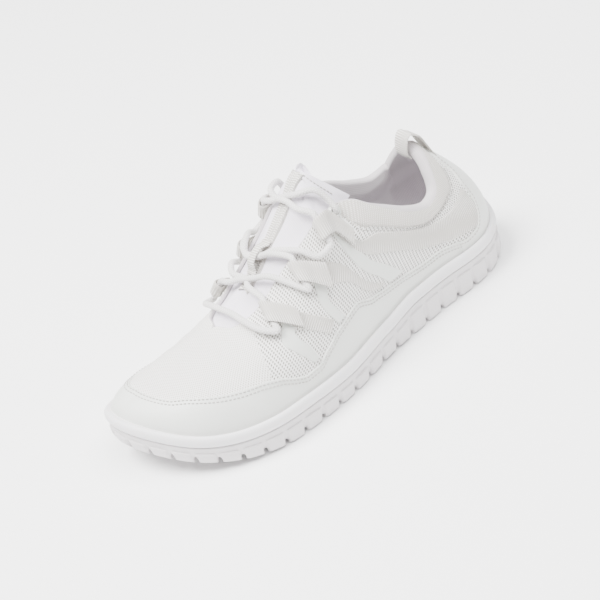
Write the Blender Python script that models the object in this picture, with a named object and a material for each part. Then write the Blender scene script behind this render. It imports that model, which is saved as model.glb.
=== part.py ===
"""White barefoot shoe, left foot: the construction as separate closed solids.

X runs from heel to toe, Y to the shoe's left (its outer side), Z up.
The origin is the bottom centre of the shoe. Lengths are in metres.
"""

import math

import bmesh
import bpy
import numpy as np

# Driving sizes of the shoe
LENGTH = 0.270
BALL_WIDTH = 0.096
INSTEP_HEIGHT = 0.111
COLLAR_HEIGHT = 0.0865
TOE_HEIGHT = 0.0455
SIDE_SHIFT = 0.0066

# Sole
OUTSOLE_WALL = 0.0187
TOE_SPRING = 0.018
HEEL_LIFT = 0.005
ARCH_RISE = 0.0012
TREAD_DEPTH = 0.0022
LEDGE_DROP = 0.0046
SCALLOP_INSET = 0.0004
SCALLOP_RISE = 0.0036
LUG_PITCH = 0.0132
LUG_GAP = 0.0022
EDGE_LUG_WIDTH = 0.0085
TREAD_PITCH = 0.0215
TREAD_GAP = 0.0052
TREAD_WIDTH = 0.0240
TREAD_BEND = 0.0018
TREAD_TAPER = 0.86
LUG_ROOT = 0.0008
LUG_FOOT = 0.0012
LUG_HEAD = 0.0024
LUG_TAPER = 0.80
SOLE_PLATE = 0.0050
TRAY_WALL = 0.0016
MIDSOLE = 0.0030
BEAD_HEIGHT = 0.0075
BEAD_WIDTH = 0.0034

# Upper, its overlays and what lies inside it
WALL = 0.0022
COLLAR_PAD = 0.0070
OVERLAY = 0.0009
INSOLE = 0.0034
TONGUE = 0.0050
TONGUE_EDGE = 0.0020
TONGUE_SINK = 0.0008
STRIP_WIDTH = 0.0110
WEBBING = 0.0011
TAB_WIDTH = 0.0110
TAB_RISE = 0.0105
LOOP_WIDTH = 0.0125
EYELET_RADIUS = 0.0038
EYELET_HOLE = 0.0021
LACE = 0.0037

# Clearances
FIT_GAP = 0.0003
CURVE_GAP = 0.0005
UPPER_GAP = 0.0013

# Insets of the outsole's tray wall and of the cup's inner wall from the sole's outline
TRAY_INSET = 0.0018
CUP_INSET = 0.0056

SIDE_NAMES = {1: "lateral", -1: "medial"}
OVERLAY_STEP = 0.04
STRAP_GAP = 0.0007
WRAP_GAP = 0.0007
TAB_GAP = 0.0020
STRAP_ROWS = 3
EYELET_GAP = 0.0006
EYELET_SIDES = 12
STRIP_GAP = 0.0007
STRIP_TOP = 7.35
STRIP_END = 10.95
KEEPER_PLACE = 10.15
KEEPER_WIDTH = 0.0098

# Side view of a lace loop's middle line: share of the way from its root to the lace,
# metres past the lace, metres out from the upper
LOOP_OUT = 0.0044
LOOP_PARTS = (-0.38, -0.12, 0.98, 1.25)
LOOP_PATH = (
    (0.00, 0.0, 0.0031), (0.30, 0.0, 0.0032), (0.60, 0.0, 0.0030), (0.84, 0.0, 0.0018),
    (1.00, 0.0, 0.0014), (1.00, 0.0024, 0.0023), (1.00, 0.0035, 0.0044), (1.00, 0.0024, 0.0065),
    (1.00, 0.0, 0.0074), (0.84, 0.0, 0.0068), (0.60, 0.0, 0.0050), (0.30, 0.0, 0.0047),
    (0.00, 0.0, 0.0046),
)
# Side view of the keeper: metres towards the toe, metres out from the tongue
KEEPER_PATH = (
    (-0.0110, 0.0027), (-0.0088, 0.0028), (-0.0072, 0.0046), (-0.0048, 0.0068),
    (0.0, 0.0075), (0.0048, 0.0068), (0.0072, 0.0046), (0.0088, 0.0028), (0.0110, 0.0027),
)
LACE_STEPS = 2
LACE_SIDES = 6
# One half of the lace between its loops and on to its top eyelet: side (1 the side it
# starts on, -1 the other), section, share, metres out from the upper
LACE_ROUTE = (
    ((1, 10.68, 0.85, 0.0046), (1, 10.75, 0.93, 0.0042), (1, 10.72, 1.00, 0.0035),
     (-1, 10.52, 0.91, 0.0042), (-1, 10.14, 0.77, 0.0046)),
    ((-1, 9.85, 0.86, 0.0046), (-1, 10.08, 0.94, 0.0040), (-1, 10.18, 0.99, 0.0037),
     (1, 10.08, 0.94, 0.0038), (1, 9.75, 0.85, 0.0042), (1, 9.15, 0.69, 0.0048),
     (1, 8.72, 0.59, 0.0048)),
    ((1, 8.60, 0.84, 0.0042), (1, 8.80, 0.95, 0.0036), (-1, 8.75, 0.98, 0.0034),
     (-1, 8.45, 0.90, 0.0038), (-1, 8.00, 0.845, 0.0042), (-1, 7.72, 0.825, 0.0040)),
)
# Bottom bar from the middle out to the first loop: section, share, metres out
LACE_BAR = ((10.98, 0.59, 0.0046), (11.40, 0.74, 0.0044), (11.75, 0.90, 0.0038))

# Share of the bead's height at which the ribs of the upper start to curve
UPPER_BASE = 0.6
# Rows of the upper as shares of each rib, and its columns as steps of a section
UPPER_ROWS = (0.0, 0.16, 0.32, 0.48, 0.64, 0.80, 0.92, 1.0)
UPPER_STEP = 0.5
# Tongue: share of the rib tucked under the upper, rows above the throat, the middle and
# the outer corner of its top edge, and how round that edge is
TONGUE_TUCK = 0.10
TONGUE_ROWS = (7.67, 7.33, 7.0)
TONGUE_TOP = (
    (0.420 * LENGTH, -0.031 * BALL_WIDTH, 1.002 * INSTEP_HEIGHT),
    (0.354 * LENGTH, 0.150 * BALL_WIDTH, 1.035 * COLLAR_HEIGHT),
)
TONGUE_ARCH = 1.6
# Upper edge of the heel counter and of the toe rand: section, share of the rib
OVERLAY_EDGE = (
    (0.00, 0.86), (0.70, 0.80), (1.10, 0.67), (1.50, 0.57), (1.70, 0.44), (1.97, 0.33),
    (2.17, 0.25), (2.43, 0.19), (2.80, 0.18), (3.43, 0.27), (3.80, 0.31), (4.60, 0.29),
    (6.53, 0.29), (7.73, 0.25), (8.93, 0.22), (9.50, 0.17), (9.83, 0.13), (10.23, 0.13),
    (10.53, 0.16), (11.07, 0.24), (11.87, 0.30), (12.80, 0.33), (13.63, 0.37), (14.47, 0.43),
    (15.83, 0.54), (17.50, 0.62), (19.00, 0.66),
)
COUNTER_END = 3.2

# Straps behind the lace loops, outer side: each has a band going back to the heel and one
# going down, as stations of (section, share) on the lower or front edge, then the same on
# the upper or back edge. The second band starts on the first one's edge.
STRAPS = (
    (
        ((10.34, 0.515, 10.22, 0.615), (10.16, 0.43, 9.90, 0.49), (9.77, 0.34, 9.50, 0.39),
         (9.37, 0.26, 9.10, 0.31)),
        ((10.62, 0.43, 10.15, 0.39), (10.35, 0.30, 9.95, 0.29), (10.05, 0.20, 9.78, 0.20)),
    ),
    (
        ((9.20, 0.53, 9.10, 0.62), (8.90, 0.46, 8.50, 0.53), (8.20, 0.38, 7.95, 0.46),
         (7.30, 0.33, 7.10, 0.41), (6.75, 0.315, 6.50, 0.36)),
        ((9.22, 0.43, 8.86, 0.39), (9.12, 0.35, 8.76, 0.33), (8.93, 0.27, 8.60, 0.27)),
    ),
    (
        ((7.95, 0.62, 7.95, 0.69), (7.30, 0.61, 7.22, 0.70), (6.30, 0.60, 6.30, 0.79),
         (5.40, 0.57, 5.23, 0.79), (4.40, 0.47, 4.30, 0.77), (3.50, 0.34, 3.30, 0.70)),
        ((7.60, 0.53, 6.75, 0.57), (7.05, 0.47, 6.25, 0.52), (6.55, 0.42, 5.80, 0.45),
         (6.15, 0.34, 5.45, 0.37)),
    ),
)
# Lace loops, outer side: root and fold as (section, share) at the lower and the upper edge
LOOPS = (
    ((9.90, 0.38, 9.90, 0.50), (10.70, 0.59, 10.67, 0.74)),
    ((8.70, 0.42, 8.60, 0.54), (9.55, 0.59, 9.60, 0.71)),
    ((7.40, 0.62, 7.30, 0.75), (8.40, 0.62, 8.43, 0.72)),
)
EYELET_PLACE = (7.55, 0.80)
# Rounding of the opening's edge: angles in degrees, height as a share of half the wall
RIM_ANGLES = (50, 130)
RIM_ROUND = 0.8

SOLE_COLUMNS = 64

# Sole outline from the heel's back round the outer side to the toe tip:
# share of LENGTH, share of BALL_WIDTH
OUTER_OUTLINE = (
    (0.000, 0.021), (0.009, 0.156), (0.035, 0.292), (0.081, 0.385), (0.148, 0.427),
    (0.259, 0.427), (0.404, 0.469), (0.552, 0.547), (0.667, 0.569), (0.759, 0.552),
    (0.844, 0.469), (0.919, 0.3125), (0.970, 0.104), (0.993, -0.094),
)
# The same from the toe tip back along the inner side
INNER_OUTLINE = (
    (0.985, -0.250), (0.933, -0.370), (0.852, -0.427), (0.741, -0.432), (0.630, -0.401),
    (0.481, -0.344), (0.370, -0.3125), (0.241, -0.292), (0.133, -0.266), (0.059, -0.198),
    (0.017, -0.094),
)

# Bottom of the sole: share of LENGTH, share of HEEL_LIFT, of ARCH_RISE, of TOE_SPRING
BOTTOM_LINE = (
    (0.00, 1.00, 0.0, 0.00),
    (0.05, 0.30, 0.0, 0.00),
    (0.12, 0.00, 0.0, 0.00),
    (0.30, 0.00, 0.0, 0.00),
    (0.43, 0.00, 1.0, 0.00),
    (0.56, 0.00, 0.0, 0.00),
    (0.70, 0.00, 0.0, 0.00),
    (0.80, 0.00, 0.0, 0.11),
    (0.90, 0.00, 0.0, 0.42),
    (1.00, 0.00, 0.0, 1.00),
)
# Height of the outsole's side: share of LENGTH, share of OUTSOLE_WALL
WALL_LINE = (
    (0.00, 0.86), (0.10, 0.94), (0.22, 1.00), (0.32, 1.00), (0.42, 0.76), (0.55, 0.70),
    (0.70, 0.77), (0.80, 0.70), (0.90, 0.60), (1.00, 0.60),
)

# Ribs of the upper, one row for each section from the heel's back to the toe tip.
# base: share along the outline from heel to toe; x: share of LENGTH; y: share of
# BALL_WIDTH; z: share of the named height; cut: share of the rib kept below the
# opening; slope: rise at the top in degrees; lean: outward tilt at the base in
# degrees; low, high: pull of the rib's ends as shares of its chord.
SECTION_COLUMNS = ("base", "x", "y", "z", "cut", "slope", "lean", "low", "high")
OUTER_SECTIONS = (
    (0.000, 0.132, 0.016, 1.000 * COLLAR_HEIGHT, 1.00, 60, 9, 0.38, 0.35),
    (0.060, 0.137, 0.115, 0.960 * COLLAR_HEIGHT, 1.00, 62, 9, 0.38, 0.35),
    (0.130, 0.149, 0.208, 0.861 * COLLAR_HEIGHT, 1.00, 66, 8, 0.36, 0.35),
    (0.200, 0.167, 0.276, 0.763 * COLLAR_HEIGHT, 1.00, 70, 7, 0.35, 0.35),
    (0.270, 0.207, 0.318, 0.723 * COLLAR_HEIGHT, 1.00, 72, 5, 0.35, 0.35),
    (0.330, 0.259, 0.328, 0.792 * COLLAR_HEIGHT, 1.00, 70, 4, 0.35, 0.35),
    (0.385, 0.311, 0.292, 0.913 * COLLAR_HEIGHT, 1.00, 62, 3, 0.35, 0.35),
    (0.430, 0.356, 0.240, 1.035 * COLLAR_HEIGHT, 1.00, 52, 3, 0.36, 0.35),
    (0.470, 0.415, -0.031, 1.000 * INSTEP_HEIGHT, 0.71, 20, 2, 0.34, 0.34),
    (0.530, 0.470, -0.031, 0.874 * INSTEP_HEIGHT, 0.73, 8, 2, 0.36, 0.36),
    (0.600, 0.544, -0.031, 0.712 * INSTEP_HEIGHT, 0.75, 0, 2, 0.40, 0.38),
    (0.665, 0.626, -0.031, 0.568 * INSTEP_HEIGHT, 0.78, 0, 2, 0.42, 0.42),
    (0.715, 0.681, -0.031, 0.514 * INSTEP_HEIGHT, 0.84, 0, 3, 0.44, 0.42),
    (0.755, 0.726, -0.042, 0.486 * INSTEP_HEIGHT, 1.00, 0, 3, 0.45, 0.42),
    (0.800, 0.778, -0.063, 1.120 * TOE_HEIGHT, 1.00, 0, 3, 0.46, 0.43),
    (0.840, 0.822, -0.089, 1.050 * TOE_HEIGHT, 1.00, 0, 3, 0.45, 0.44),
    (0.880, 0.859, -0.104, 1.000 * TOE_HEIGHT, 1.00, 0, 3, 0.42, 0.45),
    (0.920, 0.859, -0.104, 1.000 * TOE_HEIGHT, 1.00, 0, 3, 0.36, 0.46),
    (0.960, 0.859, -0.104, 1.000 * TOE_HEIGHT, 1.00, 0, 3, 0.30, 0.46),
    (1.000, 0.859, -0.104, 1.000 * TOE_HEIGHT, 1.00, 0, 3, 0.24, 0.46),
)
INNER_SECTIONS = (
    (0.000, 0.132, 0.016, 1.000 * COLLAR_HEIGHT, 1.00, 60, 9, 0.38, 0.35),
    (0.060, 0.137, -0.083, 0.960 * COLLAR_HEIGHT, 1.00, 62, 7, 0.36, 0.35),
    (0.130, 0.149, -0.167, 0.861 * COLLAR_HEIGHT, 1.00, 66, 4, 0.34, 0.35),
    (0.200, 0.167, -0.224, 0.763 * COLLAR_HEIGHT, 1.00, 72, 2, 0.33, 0.35),
    (0.270, 0.207, -0.260, 0.723 * COLLAR_HEIGHT, 1.00, 74, 2, 0.33, 0.35),
    (0.330, 0.259, -0.276, 0.780 * COLLAR_HEIGHT, 1.00, 70, 3, 0.34, 0.35),
    (0.385, 0.311, -0.266, 0.890 * COLLAR_HEIGHT, 1.00, 62, 3, 0.35, 0.35),
    (0.430, 0.356, -0.240, 0.994 * COLLAR_HEIGHT, 1.00, 52, 2, 0.34, 0.34),
    (0.470, 0.415, -0.031, 1.000 * INSTEP_HEIGHT, 0.67, 20, 0, 0.31, 0.31),
    (0.530, 0.470, -0.031, 0.874 * INSTEP_HEIGHT, 0.68, 8, -3, 0.31, 0.31),
    (0.600, 0.544, -0.031, 0.712 * INSTEP_HEIGHT, 0.68, 0, -5, 0.31, 0.33),
    (0.665, 0.626, -0.031, 0.568 * INSTEP_HEIGHT, 0.70, 0, -8, 0.31, 0.37),
    (0.715, 0.681, -0.031, 0.514 * INSTEP_HEIGHT, 0.79, 0, -10, 0.31, 0.38),
    (0.755, 0.726, -0.042, 0.486 * INSTEP_HEIGHT, 1.00, 0, -12, 0.31, 0.38),
    (0.800, 0.778, -0.063, 1.120 * TOE_HEIGHT, 1.00, 0, -12, 0.33, 0.38),
    (0.840, 0.822, -0.089, 1.050 * TOE_HEIGHT, 1.00, 0, -8, 0.36, 0.42),
    (0.880, 0.859, -0.104, 1.000 * TOE_HEIGHT, 1.00, 0, -3, 0.38, 0.45),
    (0.920, 0.859, -0.104, 1.000 * TOE_HEIGHT, 1.00, 0, 2, 0.36, 0.46),
    (0.960, 0.859, -0.104, 1.000 * TOE_HEIGHT, 1.00, 0, 3, 0.30, 0.46),
    (1.000, 0.859, -0.104, 1.000 * TOE_HEIGHT, 1.00, 0, 3, 0.24, 0.46),
)
LAST_SECTION = len(OUTER_SECTIONS) - 1
COLLAR_END = 7.0
THROAT_END = 13.0
POLE_START = 16.0


def hermite(knots, rows, tangents, at):
    """Cubic through the rows with the given tangents."""
    cell = np.clip(np.searchsorted(knots, at, side="right") - 1, 0, len(knots) - 2)
    span = knots[cell + 1] - knots[cell]
    part = (at - knots[cell]) / span
    if rows.ndim > 1:
        span = span[..., None]
        part = part[..., None]
    start = (2 * part**3 - 3 * part**2 + 1) * rows[cell]
    start_pull = (part**3 - 2 * part**2 + part) * span * tangents[cell]
    end = (3 * part**2 - 2 * part**3) * rows[cell + 1]
    end_pull = (part**3 - part**2) * span * tangents[cell + 1]
    return start + start_pull + end + end_pull


def smooth_table(knots, rows, at):
    """Read a table at one or more places, smoothly and without overshoot."""
    knots = np.asarray(knots, float)
    rows = np.asarray(rows, float)
    at = np.clip(np.asarray(at, float), knots[0], knots[-1])
    span = np.diff(knots).reshape((-1,) + (1,) * (rows.ndim - 1))
    slope = np.diff(rows, axis=0) / span
    before = slope[:-1]
    after = slope[1:]
    same_way = before * after > 0
    total = np.where(same_way, before + after, 1.0)
    tangents = np.zeros_like(rows)
    tangents[1:-1] = np.where(same_way, 2 * before * after / total, 0.0)
    tangents[0] = slope[0]
    tangents[-1] = slope[-1]
    return hermite(knots, rows, tangents, at)


def ramp(value, low, high):
    """Ease from 0 at low to 1 at high."""
    part = np.clip((np.asarray(value, float) - low) / (high - low), 0.0, 1.0)
    return part * part * (3 - 2 * part)


def unit(vectors):
    length = np.linalg.norm(vectors, axis=-1, keepdims=True)
    return vectors / np.maximum(length, 1e-12)


def dense_outline(steps=600):
    """Closed sole outline as shares around and points; 0 is the heel's back, 0.5 the toe tip."""
    shares = np.array(OUTER_OUTLINE + INNER_OUTLINE)
    corners = shares * (LENGTH, BALL_WIDTH)
    wrapped = np.vstack([corners[-3:], corners, corners[:4]])
    chords = np.linalg.norm(np.diff(wrapped, axis=0), axis=1) ** 0.5
    knots = np.concatenate([[0.0], np.cumsum(chords)])
    tangents = np.gradient(wrapped, knots, axis=0)
    around = []
    points = []
    toe = 3 + len(OUTER_OUTLINE) - 1
    close = 3 + len(corners)
    for first, last, start in ((3, toe, 0.0), (toe, close, 0.5)):
        places = np.linspace(knots[first], knots[last], steps)
        run = hermite(knots, wrapped, tangents, places)
        lengths = np.linalg.norm(np.diff(run, axis=0), axis=1)
        walked = np.concatenate([[0.0], np.cumsum(lengths)])
        around.append(start + 0.5 * walked[:-1] / walked[-1])
        points.append(run[:-1])
    return np.concatenate(around), np.vstack(points)


AROUND, OUTLINE = dense_outline()


def outline_point(around, inset=0.0):
    """Point of the sole outline at a share around it, moved inwards."""
    around = np.asarray(around, float)

    def at(place):
        x = np.interp(place, AROUND, OUTLINE[:, 0], period=1.0)
        y = np.interp(place, AROUND, OUTLINE[:, 1], period=1.0)
        return np.stack([x, y], -1)

    along = at(around + 0.008) - at(around - 0.008)
    outward = unit(np.stack([-along[..., 1], along[..., 0]], -1))
    return at(around) - outward * np.asarray(inset, float)[..., None]


def bottom_height(x):
    knots = [row[0] * LENGTH for row in BOTTOM_LINE]
    shares = smooth_table(knots, [row[1:] for row in BOTTOM_LINE], x)
    return shares @ np.array([HEEL_LIFT, ARCH_RISE, TOE_SPRING])


def groove_height(x):
    """Height of the line between the outsole and the bead above it."""
    knots = [row[0] * LENGTH for row in WALL_LINE]
    return bottom_height(x) + smooth_table(knots, [row[1] * OUTSOLE_WALL for row in WALL_LINE], x)


def section_rows(side, section):
    table = OUTER_SECTIONS if side > 0 else INNER_SECTIONS
    values = smooth_table(np.arange(len(table)), table, section)
    return dict(zip(SECTION_COLUMNS, np.moveaxis(values, -1, 0)))


def rib_around(side, section):
    """Place round the sole's outline from which a rib rises."""
    base_share = np.clip(section_rows(side, section)["base"], 0.0, 1.0)
    return 0.5 * base_share if side > 0 else 1.0 - 0.5 * base_share


def upper_rib(side, section, share):
    """Point of the upper's outer face: section from heel to toe, share of the whole rib."""
    row = section_rows(side, section)
    base = outline_point(rib_around(side, section), BEAD_WIDTH + UPPER_GAP)
    base_z = groove_height(base[..., 0]) + UPPER_BASE * BEAD_HEIGHT
    base = np.concatenate([base, base_z[..., None]], -1)
    top = np.stack([row["x"] * LENGTH, row["y"] * BALL_WIDTH, row["z"]], -1)
    inward = unit(top[..., :2] - base[..., :2])
    chord = np.linalg.norm(top - base, axis=-1)
    lean = np.radians(row["lean"])
    slope = np.radians(row["slope"])
    low_way = np.concatenate([-inward * np.sin(lean)[..., None], np.cos(lean)[..., None]], -1)
    high_way = np.concatenate([inward * np.cos(slope)[..., None], np.sin(slope)[..., None]], -1)
    low = base + low_way * (chord * row["low"])[..., None]
    high = top - high_way * (chord * row["high"])[..., None]
    w = np.asarray(share, float)[..., None]
    return (1 - w) ** 3 * base + 3 * (1 - w) ** 2 * w * low + 3 * (1 - w) * w**2 * high + w**3 * top


def opening_share(side, section):
    return section_rows(side, section)["cut"]


def raw_normal(side, section, share):
    share = np.clip(share, 0.0, 0.97)
    ahead = np.minimum(section + 0.03, LAST_SECTION)
    behind = np.maximum(section - 0.03, 0.0)
    forward = upper_rib(side, ahead, share) - upper_rib(side, behind, share)
    upward = upper_rib(side, section, np.minimum(share + 0.01, 1)) - upper_rib(
        side, section, np.maximum(share - 0.01, 0)
    )
    return unit(np.cross(upward, forward) * side)


def upper_normal(side, section, share):
    """Outward normal, the same for both sides where they meet at heel, ridge and toe."""
    section = np.asarray(section, float)
    share = np.asarray(share, float)
    own = raw_normal(side, section, share)
    other = raw_normal(-side, section, share)
    heel = 1 - ramp(section, 0.0, 1.0)
    toe = ramp(section, LAST_SECTION - 1, LAST_SECTION)
    ridge = ramp(share, 0.85, 1.0) * ramp(section, COLLAR_END, COLLAR_END + 1)
    blend = 0.5 * np.maximum(np.maximum(heel, toe), ridge)[..., None]
    normal = own * (1 - blend) + other * blend
    pole = raw_normal(1, np.float64(POLE_START), np.float64(0.97))
    pole = pole + raw_normal(-1, np.float64(POLE_START), np.float64(0.97))
    at_pole = (ramp(section, POLE_START - 1, POLE_START) * ramp(share, 0.75, 1.0))[..., None]
    return unit(unit(normal) * (1 - at_pole) + unit(pole) * at_pole)


def upper_point(side, section, share, out=0.0):
    """Point of the upper's outer face, moved outwards along its normal."""
    section = np.asarray(section, float)
    share = np.asarray(share, float)
    section, share = np.broadcast_arrays(section, share)
    out = np.asarray(out, float)[..., None]
    return upper_rib(side, section, share) + upper_normal(side, section, share) * out


def to_frame(points):
    """Move from the heel's back on the centre line to the bottom centre of the shoe."""
    return np.asarray(points, float) - (LENGTH / 2, SIDE_SHIFT, 0.0)


def plain_material(name, colour, roughness):
    material = bpy.data.materials.new(name)
    material.use_nodes = True
    shader = material.node_tree.nodes["Principled BSDF"]
    shader.inputs["Base Color"].default_value = (*colour, 1.0)
    shader.inputs["Roughness"].default_value = roughness
    shader.inputs["Metallic"].default_value = 0.0
    return material


def solid(name, points, faces, look, cutter=False):
    """One closed body from points and faces; points that coincide become one."""
    slots = {}
    index = []
    kept = []
    for point in to_frame(points):
        key = tuple(np.round(point, 6))
        if key not in slots:
            slots[key] = len(kept)
            kept.append(tuple(point))
        index.append(slots[key])
    clean = []
    for face in faces:
        loop = []
        for corner in face:
            if index[corner] not in loop:
                loop.append(index[corner])
        if len(loop) > 2:
            clean.append(loop)
    mesh = bpy.data.meshes.new(name)
    mesh.from_pydata(kept, [], clean)
    body = bmesh.new()
    body.from_mesh(mesh)
    bmesh.ops.recalc_face_normals(body, faces=body.faces)
    if not cutter and body.calc_volume(signed=True) < 0:
        bmesh.ops.reverse_faces(body, faces=body.faces)
    if not cutter:
        bmesh.ops.triangulate(body, faces=[face for face in body.faces if len(face.verts) > 4])
    body.to_mesh(mesh)
    body.free()
    mesh.shade_smooth()
    mesh.set_sharp_from_angle(angle=math.radians(35))
    piece = bpy.data.objects.new(name, mesh)
    bpy.context.scene.collection.objects.link(piece)
    if cutter:
        piece.hide_render = True
        piece.display_type = "WIRE"
    else:
        mesh.materials.append(plain_material(name, *look))
    return piece


def boolean(piece, cutter, operation):
    modifier = piece.modifiers.new(operation.title(), "BOOLEAN")
    modifier.operation = operation
    modifier.solver = "EXACT"
    modifier.object = cutter


def grid_faces(rows, columns, wrap=False):
    """Quads, split into triangles, of a grid of points stored row by row."""
    faces = []
    last = columns if wrap else columns - 1
    for row in range(rows - 1):
        for column in range(last):
            a = row * columns + column
            b = row * columns + (column + 1) % columns
            faces.append((a, b, b + columns))
            faces.append((a, b + columns, a + columns))
    return faces


def ladder(first, count):
    """Cap of a ring of points, as rungs between its outer and its inner side."""
    faces = [(first, first + 1, first + count - 1)]
    for rung in range(1, count // 2 - 1):
        a = first + rung
        b = first + count - rung
        faces.append((a, a + 1, b))
        faces.append((a + 1, b - 1, b))
    toe = count // 2
    faces.append((first + toe - 1, first + toe, first + toe + 1))
    return faces


def ring_solid(name, rings, look):
    """Body lofted through rings round the sole, with a cap at each end."""
    count = len(rings[0])
    faces = grid_faces(len(rings), count, wrap=True)
    faces += ladder(0, count) + ladder((len(rings) - 1) * count, count)
    return solid(name, np.vstack(rings), faces, look)


def sole_ring(inset, height_of, columns=SOLE_COLUMNS):
    around = np.arange(columns) / columns
    flat = outline_point(around, np.full(columns, inset))
    edge = outline_point(around)
    return np.column_stack([flat, height_of(edge[:, 0])])


# Side of the outsole from its bottom edge up: inset, then height over the bottom
# or depth under the groove, in metres
OUTSOLE_SIDE = (
    (0.0042, "over", TREAD_DEPTH),
    (0.0014, "over", TREAD_DEPTH + 0.0012),
    (0.0000, "under", LEDGE_DROP + 0.0008),
    (0.0009, "under", LEDGE_DROP),
    (0.0007, "under", 0.0010),
    (TRAY_INSET, "under", 0.0),
    (TRAY_INSET + TRAY_WALL, "under", 0.0),
    (TRAY_INSET + TRAY_WALL, "over", SOLE_PLATE),
)
# Bead: share of BEAD_WIDTH inwards, share of BEAD_HEIGHT over the groove
BEAD_PROFILE = (
    (0.60, 0.04), (0.30, 0.08), (0.02, 0.26), (-0.08, 0.55), (0.12, 0.86), (0.52, 1.00),
    (1.00, 0.84),
)


def sole_stack(profile):
    """Rings round the sole from rows of inset and height over the bottom or under the groove."""
    rings = []
    for inset, measured, amount in profile:
        if measured == "over":
            rings.append(sole_ring(inset, lambda x, up=amount: bottom_height(x) + up))
        else:
            rings.append(sole_ring(inset, lambda x, down=amount: groove_height(x) - down))
    return rings


def outsole_shell():
    return ring_solid("outsole", sole_stack(OUTSOLE_SIDE), ((0.80, 0.79, 0.81), 0.55))


def prism(points, faces, bottom, top):
    """Add a prism between two matching loops of points."""
    first = len(points)
    count = len(bottom)
    points.extend(bottom)
    points.extend(top)
    faces.append(tuple(range(first, first + count)))
    faces.append(tuple(range(first + count, first + 2 * count)))
    for corner in range(count):
        after = (corner + 1) % count
        faces.append((first + corner, first + after, first + count + after, first + count + corner))


def edge_lugs(points, faces):
    """Blocks round the edge of the tread, which give the sole's side its scallops."""
    outline = outline_point(AROUND)
    steps = np.linalg.norm(np.diff(np.vstack([outline, outline[:1]]), axis=0), axis=1)
    walked = np.concatenate([[0.0], np.cumsum(steps)])
    count = int(round(walked[-1] / LUG_PITCH))
    pitch = walked[-1] / count
    half = (pitch - LUG_GAP) / 2
    around = np.append(AROUND, 1.0)
    for lug in range(count):
        middle = (lug + 0.5) * pitch
        wide = np.interp([middle - half, middle + half], walked, around)
        narrow = np.interp([middle - LUG_TAPER * half, middle + LUG_TAPER * half], walked, around)
        foot = np.vstack([
            outline_point(wide, np.full(2, LUG_FOOT)),
            outline_point(wide[::-1], np.full(2, EDGE_LUG_WIDTH)),
        ])
        head = np.vstack([
            outline_point(narrow, np.full(2, SCALLOP_INSET)),
            outline_point(narrow[::-1], np.full(2, LUG_HEAD)),
        ])
        rise = bottom_height(foot[:, 0])
        top = np.full(4, rise.mean() + TREAD_DEPTH + SCALLOP_RISE)
        prism(points, faces, np.column_stack([foot, rise]), np.column_stack([head, top]))


def inside_outline(corner, margin):
    """Whether a flat point lies inside the sole's outline, at least the margin from it."""
    outline = outline_point(AROUND[::4])
    if np.linalg.norm(outline - corner, axis=1).min() < margin:
        return False
    near = outline[np.abs(outline[:, 0] - corner[0]) < margin]
    return len(near) > 0 and near[:, 1].min() < corner[1] < near[:, 1].max()


def middle_lugs(points, faces):
    """Staggered rows of blocks across the middle of the tread."""
    rows = int(LENGTH / TREAD_PITCH)
    pitch = LENGTH / rows
    length = pitch - TREAD_GAP
    width = TREAD_WIDTH - TREAD_GAP
    outline = outline_point(AROUND)
    for row in range(rows):
        x = (row + 0.5) * pitch
        near = outline[np.abs(outline[:, 0] - x) < pitch / 4]
        middle = (near[:, 1].min() + near[:, 1].max()) / 2
        for column in (-1.0, -0.5, 0.0, 0.5, 1.0):
            if (row % 2 == 0) != (column % 1 == 0):
                continue
            y = middle + column * TREAD_WIDTH
            bend = TREAD_BEND if column > 0 else -TREAD_BEND
            flat = np.array([
                (x - length / 2 - bend, y - width / 2),
                (x - length / 2 + bend, y + width / 2),
                (x + length / 2 + bend, y + width / 2),
                (x + length / 2 - bend, y - width / 2),
            ])
            if not all(inside_outline(corner, EDGE_LUG_WIDTH + LUG_GAP) for corner in flat):
                continue
            centre = flat.mean(axis=0)
            foot = centre + (flat - centre) * TREAD_TAPER
            low = bottom_height(foot[:, 0])
            high = bottom_height(flat[:, 0]) + TREAD_DEPTH + LUG_ROOT
            prism(points, faces, np.column_stack([foot, low]), np.column_stack([flat, high]))


def outsole():
    shell = outsole_shell()
    points = []
    faces = []
    edge_lugs(points, faces)
    middle_lugs(points, faces)
    lugs = solid("tread_cutter", np.array(points), faces, None, cutter=True)
    boolean(shell, lugs, "UNION")


def cup_floor(x):
    """Top of the midsole inside its rim."""
    return bottom_height(x) + SOLE_PLATE + FIT_GAP + MIDSOLE


def midsole_rim():
    tray = TRAY_INSET + TRAY_WALL + CURVE_GAP
    seat = SOLE_PLATE + FIT_GAP
    profile = [
        (tray + 0.0004, "over", seat),
        (tray, "over", seat + 0.0008),
        (tray, "under", -FIT_GAP),
    ]
    for inwards, up in BEAD_PROFILE:
        profile.append((inwards * BEAD_WIDTH, "under", -up * BEAD_HEIGHT))
    profile.append((CUP_INSET + 0.0002, "over", seat + MIDSOLE))
    ring_solid("midsole_rim", sole_stack(profile), ((0.87, 0.86, 0.86), 0.5))


def insole():
    inset = CUP_INSET + UPPER_GAP + WALL + UPPER_GAP
    floor = SOLE_PLATE + FIT_GAP + MIDSOLE + FIT_GAP
    profile = (
        (inset + 0.0008, "over", floor),
        (inset, "over", floor + 0.0010),
        (inset, "over", floor + INSOLE - 0.0012),
        (inset + 0.0014, "over", floor + INSOLE),
    )
    ring_solid("insole", sole_stack(profile), ((0.86, 0.85, 0.87), 0.85))


def wall_thickness(section, share):
    """Wall of the upper, thicker in the padded collar."""
    padded = 1 - ramp(section, 5.0, COLLAR_END)
    high = ramp(share, 0.55, 0.9)
    return WALL + (COLLAR_PAD - WALL) * padded * high


def shell_faces(outer_faces, count):
    """Both faces of a sheet and the walls along its free edges."""
    faces = [tuple(face) for face in outer_faces]
    faces += [tuple(corner + count for corner in reversed(face)) for face in outer_faces]
    return faces


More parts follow.
